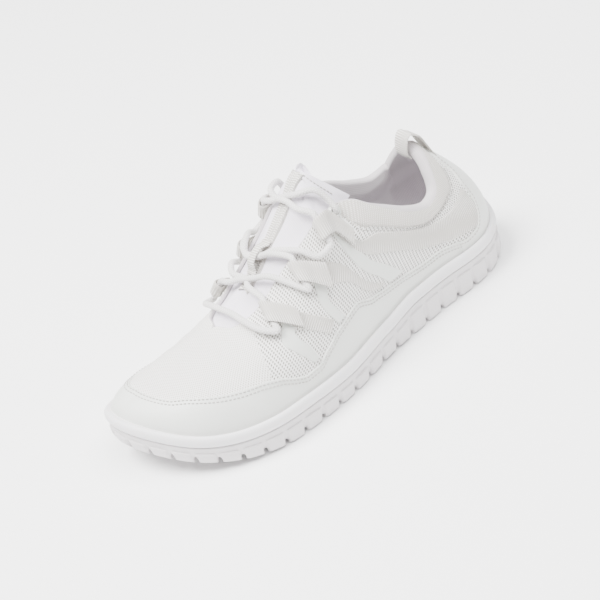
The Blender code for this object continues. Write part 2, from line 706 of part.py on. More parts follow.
def free_edges(faces):
    """Directed edges that belong to one face alone."""
    seen = {}
    for face in faces:
        for here, there in zip(face, face[1:] + face[:1]):
            seen[(here, there)] = seen.get((here, there), 0) + 1
    return [edge for edge in seen if (edge[1], edge[0]) not in seen]


def weld(points, faces):
    """Merge points that coincide; returns which were kept and the faces between them."""
    slots = {}
    kept = []
    index = []
    for number, point in enumerate(points):
        key = tuple(np.round(point, 6))
        if key not in slots:
            slots[key] = len(kept)
            kept.append(number)
        index.append(slots[key])
    clean = []
    for face in faces:
        loop = []
        for corner in face:
            if index[corner] not in loop:
                loop.append(index[corner])
        if len(loop) > 2:
            clean.append(tuple(loop))
    return kept, clean


def sheet_solid(name, outer, inner, faces, look, rim=None):
    """Body between an outer and an inner sheet of matching points.

    rim maps a point's number to the points that round its free edge.
    """
    kept, faces = weld(outer, faces)
    outer = np.asarray(outer)[kept]
    inner = np.asarray(inner)[kept]
    count = len(kept)
    points = list(outer) + list(inner)
    all_faces = shell_faces(faces, count)
    rounded = {}
    for here, there in free_edges(faces):
        chains = []
        for corner in (here, there):
            if corner not in rounded:
                extra = rim.get(kept[corner], []) if rim else []
                numbers = list(range(len(points), len(points) + len(extra)))
                points.extend(extra)
                rounded[corner] = [corner, *numbers, corner + count]
            chains.append(rounded[corner])
        first, second = chains
        if len(first) == len(second):
            for step in range(len(first) - 1):
                all_faces.append((second[step], first[step], first[step + 1], second[step + 1]))
        else:
            all_faces.append((*reversed(second), *first))
    return solid(name, np.array(points), all_faces, look)


def round_edge(outer, inner, away):
    """Points that round the edge between two faces, bulging away from the sheet."""
    middle = (outer + inner) / 2
    arm = outer - middle
    rise = unit(away) * np.linalg.norm(arm) * RIM_ROUND
    return [
        middle + arm * math.cos(angle) + rise * math.sin(angle) for angle in np.radians(RIM_ANGLES)
    ]


def upper_columns():
    """Side and section of each column, from the heel round the outer side and back."""
    sections = np.arange(0, LAST_SECTION + 0.01, UPPER_STEP)
    columns = [(1, section) for section in sections]
    columns += [(-1, section) for section in sections[-2:0:-1]]
    return columns


def upper():
    columns = upper_columns()
    outer = []
    inner = []
    rim = {}
    for side, section in columns:
        cut = float(opening_share(side, section))
        shares = np.array(UPPER_ROWS) * cut
        line = upper_point(side, np.full(len(shares), section), shares)
        depth = wall_thickness(section, np.array(UPPER_ROWS))
        inside = upper_point(side, np.full(len(shares), section), shares, -depth)
        around = rib_around(side, section)
        seat = cup_floor(outline_point(around)[0]) + FIT_GAP
        foot = [*outline_point(around, CUP_INSET + UPPER_GAP), seat]
        foot_inside = [*outline_point(around, CUP_INSET + UPPER_GAP + WALL), seat]
        outer.append(np.vstack([foot, line]))
        inner.append(np.vstack([foot_inside, inside]))
        if section <= THROAT_END:
            corner = (len(outer) - 1) * (len(UPPER_ROWS) + 1) + len(UPPER_ROWS)
            rim[corner] = round_edge(line[-1], inside[-1], line[-1] - line[-2])
    height = len(UPPER_ROWS) + 1
    faces = []
    for column in range(len(columns)):
        after = (column + 1) % len(columns)
        for row in range(height - 1):
            a = column * height + row
            b = after * height + row
            faces.append((a, a + 1, b + 1))
            faces.append((a, b + 1, b))
    return sheet_solid(
        "upper", np.vstack(outer), np.vstack(inner), faces, ((0.90, 0.89, 0.87), 0.8), rim
    )


def tongue_face(along, across):
    """Point of the tongue's outer face before it is thickened.

    along: a section of the upper, or from COLLAR_END + 1 down to COLLAR_END the part
    above the throat; across: -1 at the inner edge, 1 at the outer edge.
    """
    side = 1 if across >= 0 else -1
    across = abs(across)
    section = max(along, COLLAR_END + 1)
    lowest = float(opening_share(side, section)) - TONGUE_TUCK
    share = 1 - across * (1 - lowest)
    under = ramp(section, THROAT_END - 1.7, THROAT_END - 0.7)
    buried = max(ramp(across, 0.15, 0.6), under)
    sunk = TONGUE_SINK + (WALL + CURVE_GAP - TONGUE_SINK) * float(buried)
    point = upper_point(side, section, share, -sunk)
    above = max(COLLAR_END + 1 - along, 0.0)
    middle, corner = np.array(TONGUE_TOP)
    corner = corner * (1, side, 1)
    top = middle + (corner - middle) * (across**TONGUE_ARCH, across, across**TONGUE_ARCH)
    return point + (top - point) * above


def tongue_point(along, across, out=0.0):
    """Point of the tongue's outer face, moved outwards along its normal."""
    step = 0.04
    forward = tongue_face(along + step, across) - tongue_face(along - step, across)
    sideways = tongue_face(along, min(across + step, 1)) - tongue_face(along, max(across - step, -1))
    return tongue_face(along, across) + unit(np.cross(forward, sideways)) * out


def tongue():
    rows = np.concatenate([np.linspace(THROAT_END + 0.3, COLLAR_END + 1, 9), TONGUE_ROWS])
    columns = np.linspace(-1, 1, 9)
    outer = []
    inner = []
    for along in rows:
        for across in columns:
            thick = TONGUE - (TONGUE - TONGUE_EDGE) * abs(across) ** 2
            outer.append(tongue_point(along, across))
            inner.append(tongue_point(along, across, -thick))
    width = len(columns)
    rim = {}
    for number in range(len(outer) - width, len(outer)):
        away = outer[number] - outer[number - width]
        rim[number] = round_edge(outer[number], inner[number], away)
    faces = grid_faces(len(rows), width)
    return sheet_solid("tongue", outer, inner, faces, ((0.89, 0.88, 0.91), 0.85), rim)


def low_share(side, section):
    """Share at which a rib comes clear of the bead, for the lower edge of an overlay."""
    shares = np.linspace(0.0, 0.5, 60)
    heights = upper_point(side, np.full(60, section), shares)[:, 2]
    edge = outline_point(rib_around(side, section))
    return float(np.interp(groove_height(edge[0]) + BEAD_HEIGHT + FIT_GAP, heights, shares))


def edge_share(section):
    edge = np.array(OVERLAY_EDGE)
    return float(smooth_table(edge[:, 0], edge[:, 1], section))


def wrap_panel(name, columns, rows, look):
    """Overlay between the bead and its upper edge, round the heel or the toe."""
    outer = []
    inner = []
    for side, section in columns:
        low = low_share(side, section)
        shares = np.linspace(low, edge_share(section), rows)
        sections = np.full(rows, section)
        outer += list(upper_point(side, sections, shares, WRAP_GAP + OVERLAY))
        inner += list(upper_point(side, sections, shares, WRAP_GAP))
    return sheet_solid(name, outer, inner, grid_faces(len(columns), rows), look)


def overlays():
    satin = ((0.88, 0.89, 0.88), 0.45)
    heel = [0.0, *np.arange(0.5, COUNTER_END, 0.5), COUNTER_END]
    back = [(-1, section) for section in heel[::-1]] + [(1, section) for section in heel[1:]]
    wrap_panel("heel_counter", back, 5, satin)
    start = COUNTER_END + OVERLAY_STEP
    sides = [start, *np.arange(4.0, LAST_SECTION + 0.01, 0.5)]
    front = [(1, section) for section in sides] + [(-1, section) for section in sides[-2::-1]]
    wrap_panel("toe_rand", front, 4, satin)


def on_side(side, section, share, out):
    """Point given for the outer side; on the inner side its share fits the shorter ribs."""
    if side < 0:
        share = share * float(opening_share(-1, section) / opening_share(1, section))
    return upper_point(side, float(section), float(share), float(out))


def strap(side, number):
    bands = STRAPS[number]
    grid = []
    faces = []

    def add_rows(stations, steps):
        rows = []
        for here, there in zip(stations, stations[1:]):
            for step in range(steps):
                rows.append(here + (there - here) * step / steps)
        rows.append(stations[-1])
        first = len(grid)
        for row in rows:
            for part in np.linspace(0, 1, STRAP_ROWS):
                grid.append(tuple(row[:2] * (1 - part) + row[2:] * part))
        cells = grid_faces(len(rows), STRAP_ROWS)
        faces.extend(tuple(first + corner for corner in face) for face in cells)

    steps = STRAP_ROWS - 1
    band = np.array(bands[0])
    add_rows(band, steps)
    branch = np.vstack([[*band[0][:2], *band[1][:2]], bands[1]])
    add_rows(branch, steps)
    outer = [on_side(side, *place, STRAP_GAP + OVERLAY) for place in grid]
    inner = [on_side(side, *place, STRAP_GAP) for place in grid]
    name = "strap_%s_%d" % (SIDE_NAMES[side], number + 1)
    return sheet_solid(name, outer, inner, faces, ((0.88, 0.89, 0.88), 0.45))


def band_solid(name, low_edge, high_edge, thickness, look):
    """Webbing of even thickness whose middle follows two matching edges."""
    low_edge = np.array(low_edge)
    high_edge = np.array(high_edge)
    middle = (low_edge + high_edge) / 2
    along = unit(np.gradient(middle, axis=0))
    across = unit(high_edge - low_edge)
    normal = unit(np.cross(along, across)) * thickness / 2
    outer = np.stack([low_edge + normal, high_edge + normal], 1).reshape(-1, 3)
    inner = np.stack([low_edge - normal, high_edge - normal], 1).reshape(-1, 3)
    return sheet_solid(name, list(outer), list(inner), grid_faces(len(middle), 2), look)


def loop_bar_ends(side, number):
    """Where the lace crosses a loop's two edges, as (section, share)."""
    root, fold = LOOPS[number]
    ends = []
    for corner in (0, 2):
        start = np.array(root[corner:corner + 2])
        end = np.array(fold[corner:corner + 2])
        length = np.linalg.norm(on_side(side, *end, LOOP_OUT) - on_side(side, *start, LOOP_OUT))
        ends.append(end - (end - start) * (LACE / 2 + FIT_GAP + WEBBING) / length)
    return ends


def lace_loop(side, number):
    """Webbing folded back on itself round the lace."""
    root = LOOPS[number][0]
    edges = []
    for corner, end in zip((0, 2), loop_bar_ends(side, number)):
        start = np.array(root[corner:corner + 2])
        length = np.linalg.norm(on_side(side, *end, LOOP_OUT) - on_side(side, *start, LOOP_OUT))
        edge = []
        for share, past, out in LOOP_PATH:
            place = start + (end - start) * (share + past / length)
            edge.append(on_side(side, *place, out))
        edges.append(edge)
    name = "lace_loop_%s_%d" % (SIDE_NAMES[side], number + 1)
    return band_solid(name, *edges, WEBBING, ((0.92, 0.91, 0.88), 0.75))


def eyelet(side):
    """Flat reinforcing ring round the top eyelet, with a real hole through the upper."""
    section, share = EYELET_PLACE
    centre = on_side(side, section, share, 0.0)
    out = unit(on_side(side, section, share, 0.01) - centre)
    along = unit(on_side(side, section + 0.1, share, 0.0) - centre)
    across = np.cross(out, along)
    angles = np.linspace(0, 2 * math.pi, EYELET_SIDES, endpoint=False)
    ring = [along * math.cos(angle) + across * math.sin(angle) for angle in angles]
    rings = []
    for radius, height in (
        (EYELET_RADIUS, EYELET_GAP),
        (EYELET_RADIUS, EYELET_GAP + 0.6 * OVERLAY),
        (EYELET_RADIUS - 0.6 * OVERLAY, EYELET_GAP + OVERLAY),
        (EYELET_HOLE, EYELET_GAP + OVERLAY),
        (EYELET_HOLE, EYELET_GAP),
    ):
        rings += [centre + way * radius + out * height for way in ring]
    faces = []
    for level in range(5):
        for spoke in range(EYELET_SIDES):
            after = (spoke + 1) % EYELET_SIDES
            here = level * EYELET_SIDES
            there = (level + 1) % 5 * EYELET_SIDES
            faces.append((here + spoke, here + after, there + after, there + spoke))
    solid("eyelet_" + SIDE_NAMES[side], np.array(rings), faces, ((0.88, 0.89, 0.88), 0.45))
    bottom = [centre + way * EYELET_HOLE - out * 2 * WALL for way in ring]
    top = [centre + way * EYELET_HOLE + out * WALL / 2 for way in ring]
    points = []
    hole_faces = []
    prism(points, hole_faces, bottom, top)
    return solid("eyelet_cutter_" + SIDE_NAMES[side], np.array(points), hole_faces, None, True)


def pull_tab():
    """Folded webbing standing up from the back of the collar."""
    out = WRAP_GAP + OVERLAY + FIT_GAP + WEBBING / 2
    pad = COLLAR_PAD + TAB_GAP + WEBBING / 2
    top = upper_point(1, 0.0, 1.0)
    middle = (top + upper_point(1, 0.0, 1.0, -pad)) / 2
    path = [
        upper_point(1, 0.0, 0.78, out),
        upper_point(1, 0.0, 0.90, out),
        upper_point(1, 0.0, 1.0, out) + (0, 0, 0.002),
        middle + (-0.0030, 0, TAB_RISE * 0.80),
        middle + (-0.0004, 0, TAB_RISE),
        middle + (0.0028, 0, TAB_RISE * 0.80),
        upper_point(1, 0.0, 1.0, -pad) + (0.001, 0, 0.002),
        upper_point(1, 0.0, 0.97, -pad),
    ]
    half = np.array([0.0, TAB_WIDTH / 2, 0.0])
    low = [point - half for point in path]
    high = [point + half for point in path]
    return band_solid("pull_tab", low, high, WEBBING, ((0.92, 0.91, 0.88), 0.75))


def tongue_across(along, distance):
    """Place across the tongue at a distance from its middle, in metres."""
    reach = tongue_face(along, 0.15) - tongue_face(along, 0.0)
    return 0.15 * distance / np.linalg.norm(reach)


def tongue_along(along, distance):
    """Place along the tongue at a distance towards the toe, in metres."""
    reach = tongue_face(along + 0.2, 0.0) - tongue_face(along, 0.0)
    return along + 0.2 * distance / np.linalg.norm(reach)


def tongue_strip():
    """Webbing strip down the middle of the tongue."""
    outer = []
    inner = []
    rows = np.linspace(STRIP_TOP, STRIP_END, 10)
    for along in rows:
        for offset in (-0.5, -0.25, 0.0, 0.25, 0.5):
            across = tongue_across(along, offset * STRIP_WIDTH)
            outer.append(tongue_point(along, across, STRIP_GAP + WEBBING))
            inner.append(tongue_point(along, across, STRIP_GAP))
    return sheet_solid(
        "tongue_strip", outer, inner, grid_faces(len(rows), 5), ((0.92, 0.91, 0.88), 0.75)
    )


def lace_keeper():
    """Webbing bridge along the tongue's strip that the lace crosses under."""
    edges = []
    for side in (0.5, -0.5):
        edge = []
        for distance, height in KEEPER_PATH:
            along = tongue_along(KEEPER_PLACE, distance)
            across = tongue_across(along, side * KEEPER_WIDTH)
            edge.append(tongue_point(along, across, height))
        edges.append(edge)
    return band_solid("lace_keeper", *edges, WEBBING, ((0.92, 0.91, 0.88), 0.75))


def loop_bar(side, number):
    """Places where the lace enters, lies in and leaves a loop."""
    low, high = loop_bar_ends(side, number)
    return [on_side(side, *(low + (high - low) * part), LOOP_OUT) for part in LOOP_PARTS]


def lace_route():
    """Middle line of each half of the lace, from the bottom bar to its top eyelet."""
    lines = []
    for start in (1, -1):
        line = []
        for number, rows in enumerate(LACE_ROUTE):
            line += loop_bar(start * (-1) ** number, number)
            line += [on_side(start * flip, *place) for flip, *place in rows]
        lines.append(np.array(line))
    bar = [on_side(-1, *place) for place in LACE_BAR]
    bar += [on_side(1, *place) for place in LACE_BAR[::-1]]
    lines[0] = np.vstack([bar, lines[0]])
    lines[1] = np.vstack([bar[:1], lines[1]])
    return lines


def tube(name, line, radius, look, cutter=False):
    """Round cord along a line of points, joined by a smooth curve."""
    chords = np.linalg.norm(np.diff(line, axis=0), axis=1) ** 0.5
    knots = np.concatenate([[0.0], np.cumsum(chords)])
    places = np.concatenate([
        np.linspace(here, there, LACE_STEPS, endpoint=False) for here, there in zip(knots, knots[1:])
    ])
    places = np.append(places, knots[-1])
    path = hermite(knots, line, np.gradient(line, knots, axis=0), places)
    along = unit(np.gradient(path, axis=0))
    out = np.array([0.0, 0.0, 1.0])
    points = []
    for centre, way in zip(path, along):
        out = unit(out - way * np.dot(out, way))
        across = np.cross(way, out)
        for angle in np.linspace(0, 2 * math.pi, LACE_SIDES, endpoint=False):
            points.append(centre + (out * math.cos(angle) + across * math.sin(angle)) * radius)
    faces = grid_faces(len(path), LACE_SIDES, wrap=True)
    faces.append(tuple(range(LACE_SIDES)))
    faces.append(tuple(range(len(points) - LACE_SIDES, len(points))))
    return solid(name, np.array(points), faces, look, cutter)


def lace():
    first, second = lace_route()
    piece = tube("lace", first, LACE / 2, ((0.95, 0.95, 0.94), 0.8))
    boolean(piece, tube("lace_cutter", second, LACE / 2 * 0.995, None, cutter=True), "UNION")


def clear_scene():
    for piece in list(bpy.data.objects):
        bpy.data.objects.remove(piece, do_unlink=True)


def build():
    clear_scene()
    outsole()
    midsole_rim()
    insole()
    shell = upper()
    tongue()
    overlays()
    for side in SIDE_NAMES:
        for number in range(3):
            strap(side, number)
            lace_loop(side, number)
        boolean(shell, eyelet(side), "DIFFERENCE")
    pull_tab()
    tongue_strip()
    lace_keeper()
    lace()


build()
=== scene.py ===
"""White barefoot shoe, left foot: the looks of every piece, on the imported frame.

X runs from heel to toe, Y to the shoe's left (its outer side), Z up, in metres.
Pieces are made in the shoe's own coordinates, from the heel's back on the centre line,
and moved to the frame's origin as they are made.
"""

import math

import bmesh
import bpy
import numpy as np
from mathutils import Matrix


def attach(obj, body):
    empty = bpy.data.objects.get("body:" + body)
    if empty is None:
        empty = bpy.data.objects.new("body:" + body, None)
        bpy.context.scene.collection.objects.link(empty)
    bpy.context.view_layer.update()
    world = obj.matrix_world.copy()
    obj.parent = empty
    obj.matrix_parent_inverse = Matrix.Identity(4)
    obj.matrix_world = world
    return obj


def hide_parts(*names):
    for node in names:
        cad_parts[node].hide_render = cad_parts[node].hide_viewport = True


bl_info = {
    "name": "White barefoot shoe",
    "version": (1, 0, 0),
    "blender": (4, 5, 0),
    "location": "3D View > Sidebar > Shoe",
    "description": "Dresses the frame of a barefoot shoe with its soft and moulded pieces",
    "category": "Object",
}

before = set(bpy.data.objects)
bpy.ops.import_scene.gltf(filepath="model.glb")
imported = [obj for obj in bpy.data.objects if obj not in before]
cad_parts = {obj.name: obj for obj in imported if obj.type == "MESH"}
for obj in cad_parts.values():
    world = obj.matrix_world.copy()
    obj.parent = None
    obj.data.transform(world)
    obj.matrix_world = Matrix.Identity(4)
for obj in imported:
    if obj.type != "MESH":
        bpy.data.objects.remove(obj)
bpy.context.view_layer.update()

# Driving sizes of the shoe
LENGTH = 0.270
BALL_WIDTH = 0.096
INSTEP_HEIGHT = 0.111
COLLAR_HEIGHT = 0.0865
TOE_HEIGHT = 0.0455
SIDE_SHIFT = 0.0066

# Sole
OUTSOLE_WALL = 0.0187
TOE_SPRING = 0.018
HEEL_LIFT = 0.005
ARCH_RISE = 0.0012
TREAD_DEPTH = 0.0022
LEDGE_DROP = 0.0046
SCALLOP_INSET = 0.0004
LUG_PITCH = 0.0132
LUG_GAP = 0.0022
EDGE_LUG_WIDTH = 0.0085
TREAD_PITCH = 0.0215
TREAD_GAP = 0.0052
TREAD_WIDTH = 0.0240
TREAD_BEND = 0.0018
TREAD_TAPER = 0.86
LUG_ROOT = 0.0008
LUG_FOOT = 0.0012
LUG_HEAD = 0.0024
LUG_TAPER = 0.80
SOLE_PLATE = 0.0050
MIDSOLE = 0.0030
BEAD_HEIGHT = 0.0075
BEAD_WIDTH = 0.0034

# Upper, its overlays and what lies inside it
WALL = 0.0022
COLLAR_PAD = 0.0070
OVERLAY = 0.0009
INSOLE = 0.0034
TONGUE = 0.0050
TONGUE_EDGE = 0.0020
TONGUE_SINK = 0.0008
STRIP_WIDTH = 0.0110
WEBBING = 0.0011
TAB_WIDTH = 0.0110
TAB_RISE = 0.0105
EYELET_RADIUS = 0.0038
EYELET_HOLE = 0.0021
LACE = 0.0037

# Clearances
FIT_GAP = 0.0003
CURVE_GAP = 0.0005
UPPER_GAP = 0.0013

# Inset of the cup's inner wall from the sole's outline
CUP_INSET = 0.0056

SIDE_NAMES = {1: "lateral", -1: "medial"}
WRAP_GAP = 0.0007
TAB_GAP = 0.0020
STRIP_GAP = 0.0007
STRIP_END = 10.95
KEEPER_PLACE = 10.15
KEEPER_WIDTH = 0.0098

# Side view of a lace loop's middle line: share of the way from its root to the lace,
# metres past the lace, metres out from the upper
LOOP_OUT = 0.0044
LOOP_PARTS = (-0.38, -0.12, 0.98, 1.25)
LOOP_PATH = (
    (0.00, 0.0, 0.0031), (0.30, 0.0, 0.0032), (0.60, 0.0, 0.0030), (0.84, 0.0, 0.0018),
    (1.00, 0.0, 0.0014), (1.00, 0.0024, 0.0023), (1.00, 0.0035, 0.0044), (1.00, 0.0024, 0.0065),
    (1.00, 0.0, 0.0074), (0.84, 0.0, 0.0068), (0.60, 0.0, 0.0050), (0.30, 0.0, 0.0047),
    (0.00, 0.0, 0.0046),
)
# Side view of the keeper: metres towards the toe, metres out from the tongue
KEEPER_PATH = (
    (-0.0110, 0.0027), (-0.0088, 0.0028), (-0.0072, 0.0046), (-0.0048, 0.0068),
    (0.0, 0.0075), (0.0048, 0.0068), (0.0072, 0.0046), (0.0088, 0.0028), (0.0110, 0.0027),
)
# One half of the lace between its loops and on to its top eyelet: side (1 the side it
# starts on, -1 the other), section, share, metres out from the upper
LACE_ROUTE = (
    ((1, 10.68, 0.85, 0.0046), (1, 10.75, 0.93, 0.0042), (1, 10.72, 1.00, 0.0035),
     (-1, 10.52, 0.91, 0.0042), (-1, 10.14, 0.77, 0.0046)),
    ((-1, 9.85, 0.86, 0.0046), (-1, 10.08, 0.94, 0.0040), (-1, 10.18, 0.99, 0.0037),
     (1, 10.08, 0.94, 0.0038), (1, 9.75, 0.85, 0.0042), (1, 9.15, 0.69, 0.0048),
     (1, 8.72, 0.59, 0.0048)),
    ((1, 8.60, 0.84, 0.0042), (1, 8.80, 0.95, 0.0036), (-1, 8.75, 0.98, 0.0034),
     (-1, 8.45, 0.90, 0.0038), (-1, 8.00, 0.845, 0.0042), (-1, 7.72, 0.825, 0.0040)),
)
# Bottom bar from the middle out to the first loop: section, share, metres out
LACE_BAR = ((10.98, 0.59, 0.0046), (11.40, 0.74, 0.0044), (11.75, 0.90, 0.0038))

# Share of the bead's height at which the ribs of the upper start to curve
UPPER_BASE = 0.6
# Tongue: share of the rib tucked under the upper, the middle and the outer corner of its
# top edge, and how round that edge is, which is rounder in the cloth than in the solid
TONGUE_TUCK = 0.10
TONGUE_TOP = (
    (0.420 * LENGTH, -0.031 * BALL_WIDTH, 1.002 * INSTEP_HEIGHT),
    (0.354 * LENGTH, 0.150 * BALL_WIDTH, 1.035 * COLLAR_HEIGHT),
)
SOFT_ARCH = 2.3
# Upper edge of the heel counter and of the toe rand: section, share of the rib
OVERLAY_EDGE = (
    (0.00, 0.86), (0.70, 0.80), (1.10, 0.67), (1.50, 0.57), (1.70, 0.44), (1.97, 0.33),
    (2.17, 0.25), (2.43, 0.19), (2.80, 0.18), (3.43, 0.27), (3.80, 0.31), (4.60, 0.29),
    (6.53, 0.29), (7.73, 0.25), (8.93, 0.22), (9.50, 0.17), (9.83, 0.13), (10.23, 0.13),
    (10.53, 0.16), (11.07, 0.24), (11.87, 0.30), (12.80, 0.33), (13.63, 0.37), (14.47, 0.43),
    (15.83, 0.54), (17.50, 0.62), (19.00, 0.66),
)
COUNTER_END = 3.2

# Straps behind the lace loops, outer side: each has a band going back to the heel and one
# going down, as stations of (section, share) on the lower or front edge, then the same on
# the upper or back edge. The second band starts on the first one's edge.
STRAPS = (
    (
        ((10.34, 0.515, 10.22, 0.615), (10.16, 0.43, 9.90, 0.49), (9.77, 0.34, 9.50, 0.39),
         (9.37, 0.26, 9.10, 0.31)),
        ((10.62, 0.43, 10.15, 0.39), (10.35, 0.30, 9.95, 0.29), (10.05, 0.20, 9.78, 0.20)),
    ),
    (
        ((9.20, 0.53, 9.10, 0.62), (8.90, 0.46, 8.50, 0.53), (8.20, 0.38, 7.95, 0.46),
         (7.30, 0.33, 7.10, 0.41), (6.75, 0.315, 6.50, 0.36)),
        ((9.22, 0.43, 8.86, 0.39), (9.12, 0.35, 8.76, 0.33), (8.93, 0.27, 8.60, 0.27)),
    ),
    (
        ((7.95, 0.62, 7.95, 0.69), (7.30, 0.61, 7.22, 0.70), (6.30, 0.60, 6.30, 0.79),
         (5.40, 0.57, 5.23, 0.79), (4.40, 0.47, 4.30, 0.77), (3.50, 0.34, 3.30, 0.70)),
        ((7.60, 0.53, 6.75, 0.57), (7.05, 0.47, 6.25, 0.52), (6.55, 0.42, 5.80, 0.45),
         (6.15, 0.34, 5.45, 0.37)),
    ),
)
# Lace loops, outer side: root and fold as (section, share) at the lower and the upper edge
LOOPS = (
    ((9.90, 0.38, 9.90, 0.50), (10.70, 0.59, 10.67, 0.74)),
    ((8.70, 0.42, 8.60, 0.54), (9.55, 0.59, 9.60, 0.71)),
    ((7.40, 0.62, 7.30, 0.75), (8.40, 0.62, 8.43, 0.72)),
)
EYELET_PLACE = (7.55, 0.80)
# Rounding of the opening's edge: its height as a share of half the wall
RIM_ROUND = 0.8

# Sole outline from the heel's back round the outer side to the toe tip:
# share of LENGTH, share of BALL_WIDTH
OUTER_OUTLINE = (
    (0.000, 0.021), (0.009, 0.156), (0.035, 0.292), (0.081, 0.385), (0.148, 0.427),
    (0.259, 0.427), (0.404, 0.469), (0.552, 0.547), (0.667, 0.569), (0.759, 0.552),
    (0.844, 0.469), (0.919, 0.3125), (0.970, 0.104), (0.993, -0.094),
)
# The same from the toe tip back along the inner side
INNER_OUTLINE = (
    (0.985, -0.250), (0.933, -0.370), (0.852, -0.427), (0.741, -0.432), (0.630, -0.401),
    (0.481, -0.344), (0.370, -0.3125), (0.241, -0.292), (0.133, -0.266), (0.059, -0.198),
    (0.017, -0.094),
)

# Bottom of the sole: share of LENGTH, share of HEEL_LIFT, of ARCH_RISE, of TOE_SPRING
BOTTOM_LINE = (
    (0.00, 1.00, 0.0, 0.00),
    (0.05, 0.30, 0.0, 0.00),
    (0.12, 0.00, 0.0, 0.00),
    (0.30, 0.00, 0.0, 0.00),
    (0.43, 0.00, 1.0, 0.00),
    (0.56, 0.00, 0.0, 0.00),
    (0.70, 0.00, 0.0, 0.00),
    (0.80, 0.00, 0.0, 0.11),
    (0.90, 0.00, 0.0, 0.42),
    (1.00, 0.00, 0.0, 1.00),
)
# Height of the outsole's side: share of LENGTH, share of OUTSOLE_WALL
WALL_LINE = (
    (0.00, 0.86), (0.10, 0.94), (0.22, 1.00), (0.32, 1.00), (0.42, 0.76), (0.55, 0.70),
    (0.70, 0.77), (0.80, 0.70), (0.90, 0.60), (1.00, 0.60),
)

# Ribs of the upper, one row for each section from the heel's back to the toe tip.
# base: share along the outline from heel to toe; x: share of LENGTH; y: share of
# BALL_WIDTH; z: share of the named height; cut: share of the rib kept below the
# opening; slope: rise at the top in degrees; lean: outward tilt at the base in
# degrees; low, high: pull of the rib's ends as shares of its chord.
SECTION_COLUMNS = ("base", "x", "y", "z", "cut", "slope", "lean", "low", "high")
OUTER_SECTIONS = (
    (0.000, 0.132, 0.016, 1.000 * COLLAR_HEIGHT, 1.00, 60, 9, 0.38, 0.35),
    (0.060, 0.137, 0.115, 0.960 * COLLAR_HEIGHT, 1.00, 62, 9, 0.38, 0.35),
    (0.130, 0.149, 0.208, 0.861 * COLLAR_HEIGHT, 1.00, 66, 8, 0.36, 0.35),
    (0.200, 0.167, 0.276, 0.763 * COLLAR_HEIGHT, 1.00, 70, 7, 0.35, 0.35),
    (0.270, 0.207, 0.318, 0.723 * COLLAR_HEIGHT, 1.00, 72, 5, 0.35, 0.35),
    (0.330, 0.259, 0.328, 0.792 * COLLAR_HEIGHT, 1.00, 70, 4, 0.35, 0.35),
    (0.385, 0.311, 0.292, 0.913 * COLLAR_HEIGHT, 1.00, 62, 3, 0.35, 0.35),
    (0.430, 0.356, 0.240, 1.035 * COLLAR_HEIGHT, 1.00, 52, 3, 0.36, 0.35),
    (0.470, 0.415, -0.031, 1.000 * INSTEP_HEIGHT, 0.71, 20, 2, 0.34, 0.34),
    (0.530, 0.470, -0.031, 0.874 * INSTEP_HEIGHT, 0.73, 8, 2, 0.36, 0.36),
    (0.600, 0.544, -0.031, 0.712 * INSTEP_HEIGHT, 0.75, 0, 2, 0.40, 0.38),
    (0.665, 0.626, -0.031, 0.568 * INSTEP_HEIGHT, 0.78, 0, 2, 0.42, 0.42),
    (0.715, 0.681, -0.031, 0.514 * INSTEP_HEIGHT, 0.84, 0, 3, 0.44, 0.42),
    (0.755, 0.726, -0.042, 0.486 * INSTEP_HEIGHT, 1.00, 0, 3, 0.45, 0.42),
    (0.800, 0.778, -0.063, 1.120 * TOE_HEIGHT, 1.00, 0, 3, 0.46, 0.43),
    (0.840, 0.822, -0.089, 1.050 * TOE_HEIGHT, 1.00, 0, 3, 0.45, 0.44),
    (0.880, 0.859, -0.104, 1.000 * TOE_HEIGHT, 1.00, 0, 3, 0.42, 0.45),
    (0.920, 0.859, -0.104, 1.000 * TOE_HEIGHT, 1.00, 0, 3, 0.36, 0.46),
    (0.960, 0.859, -0.104, 1.000 * TOE_HEIGHT, 1.00, 0, 3, 0.30, 0.46),
    (1.000, 0.859, -0.104, 1.000 * TOE_HEIGHT, 1.00, 0, 3, 0.24, 0.46),
)
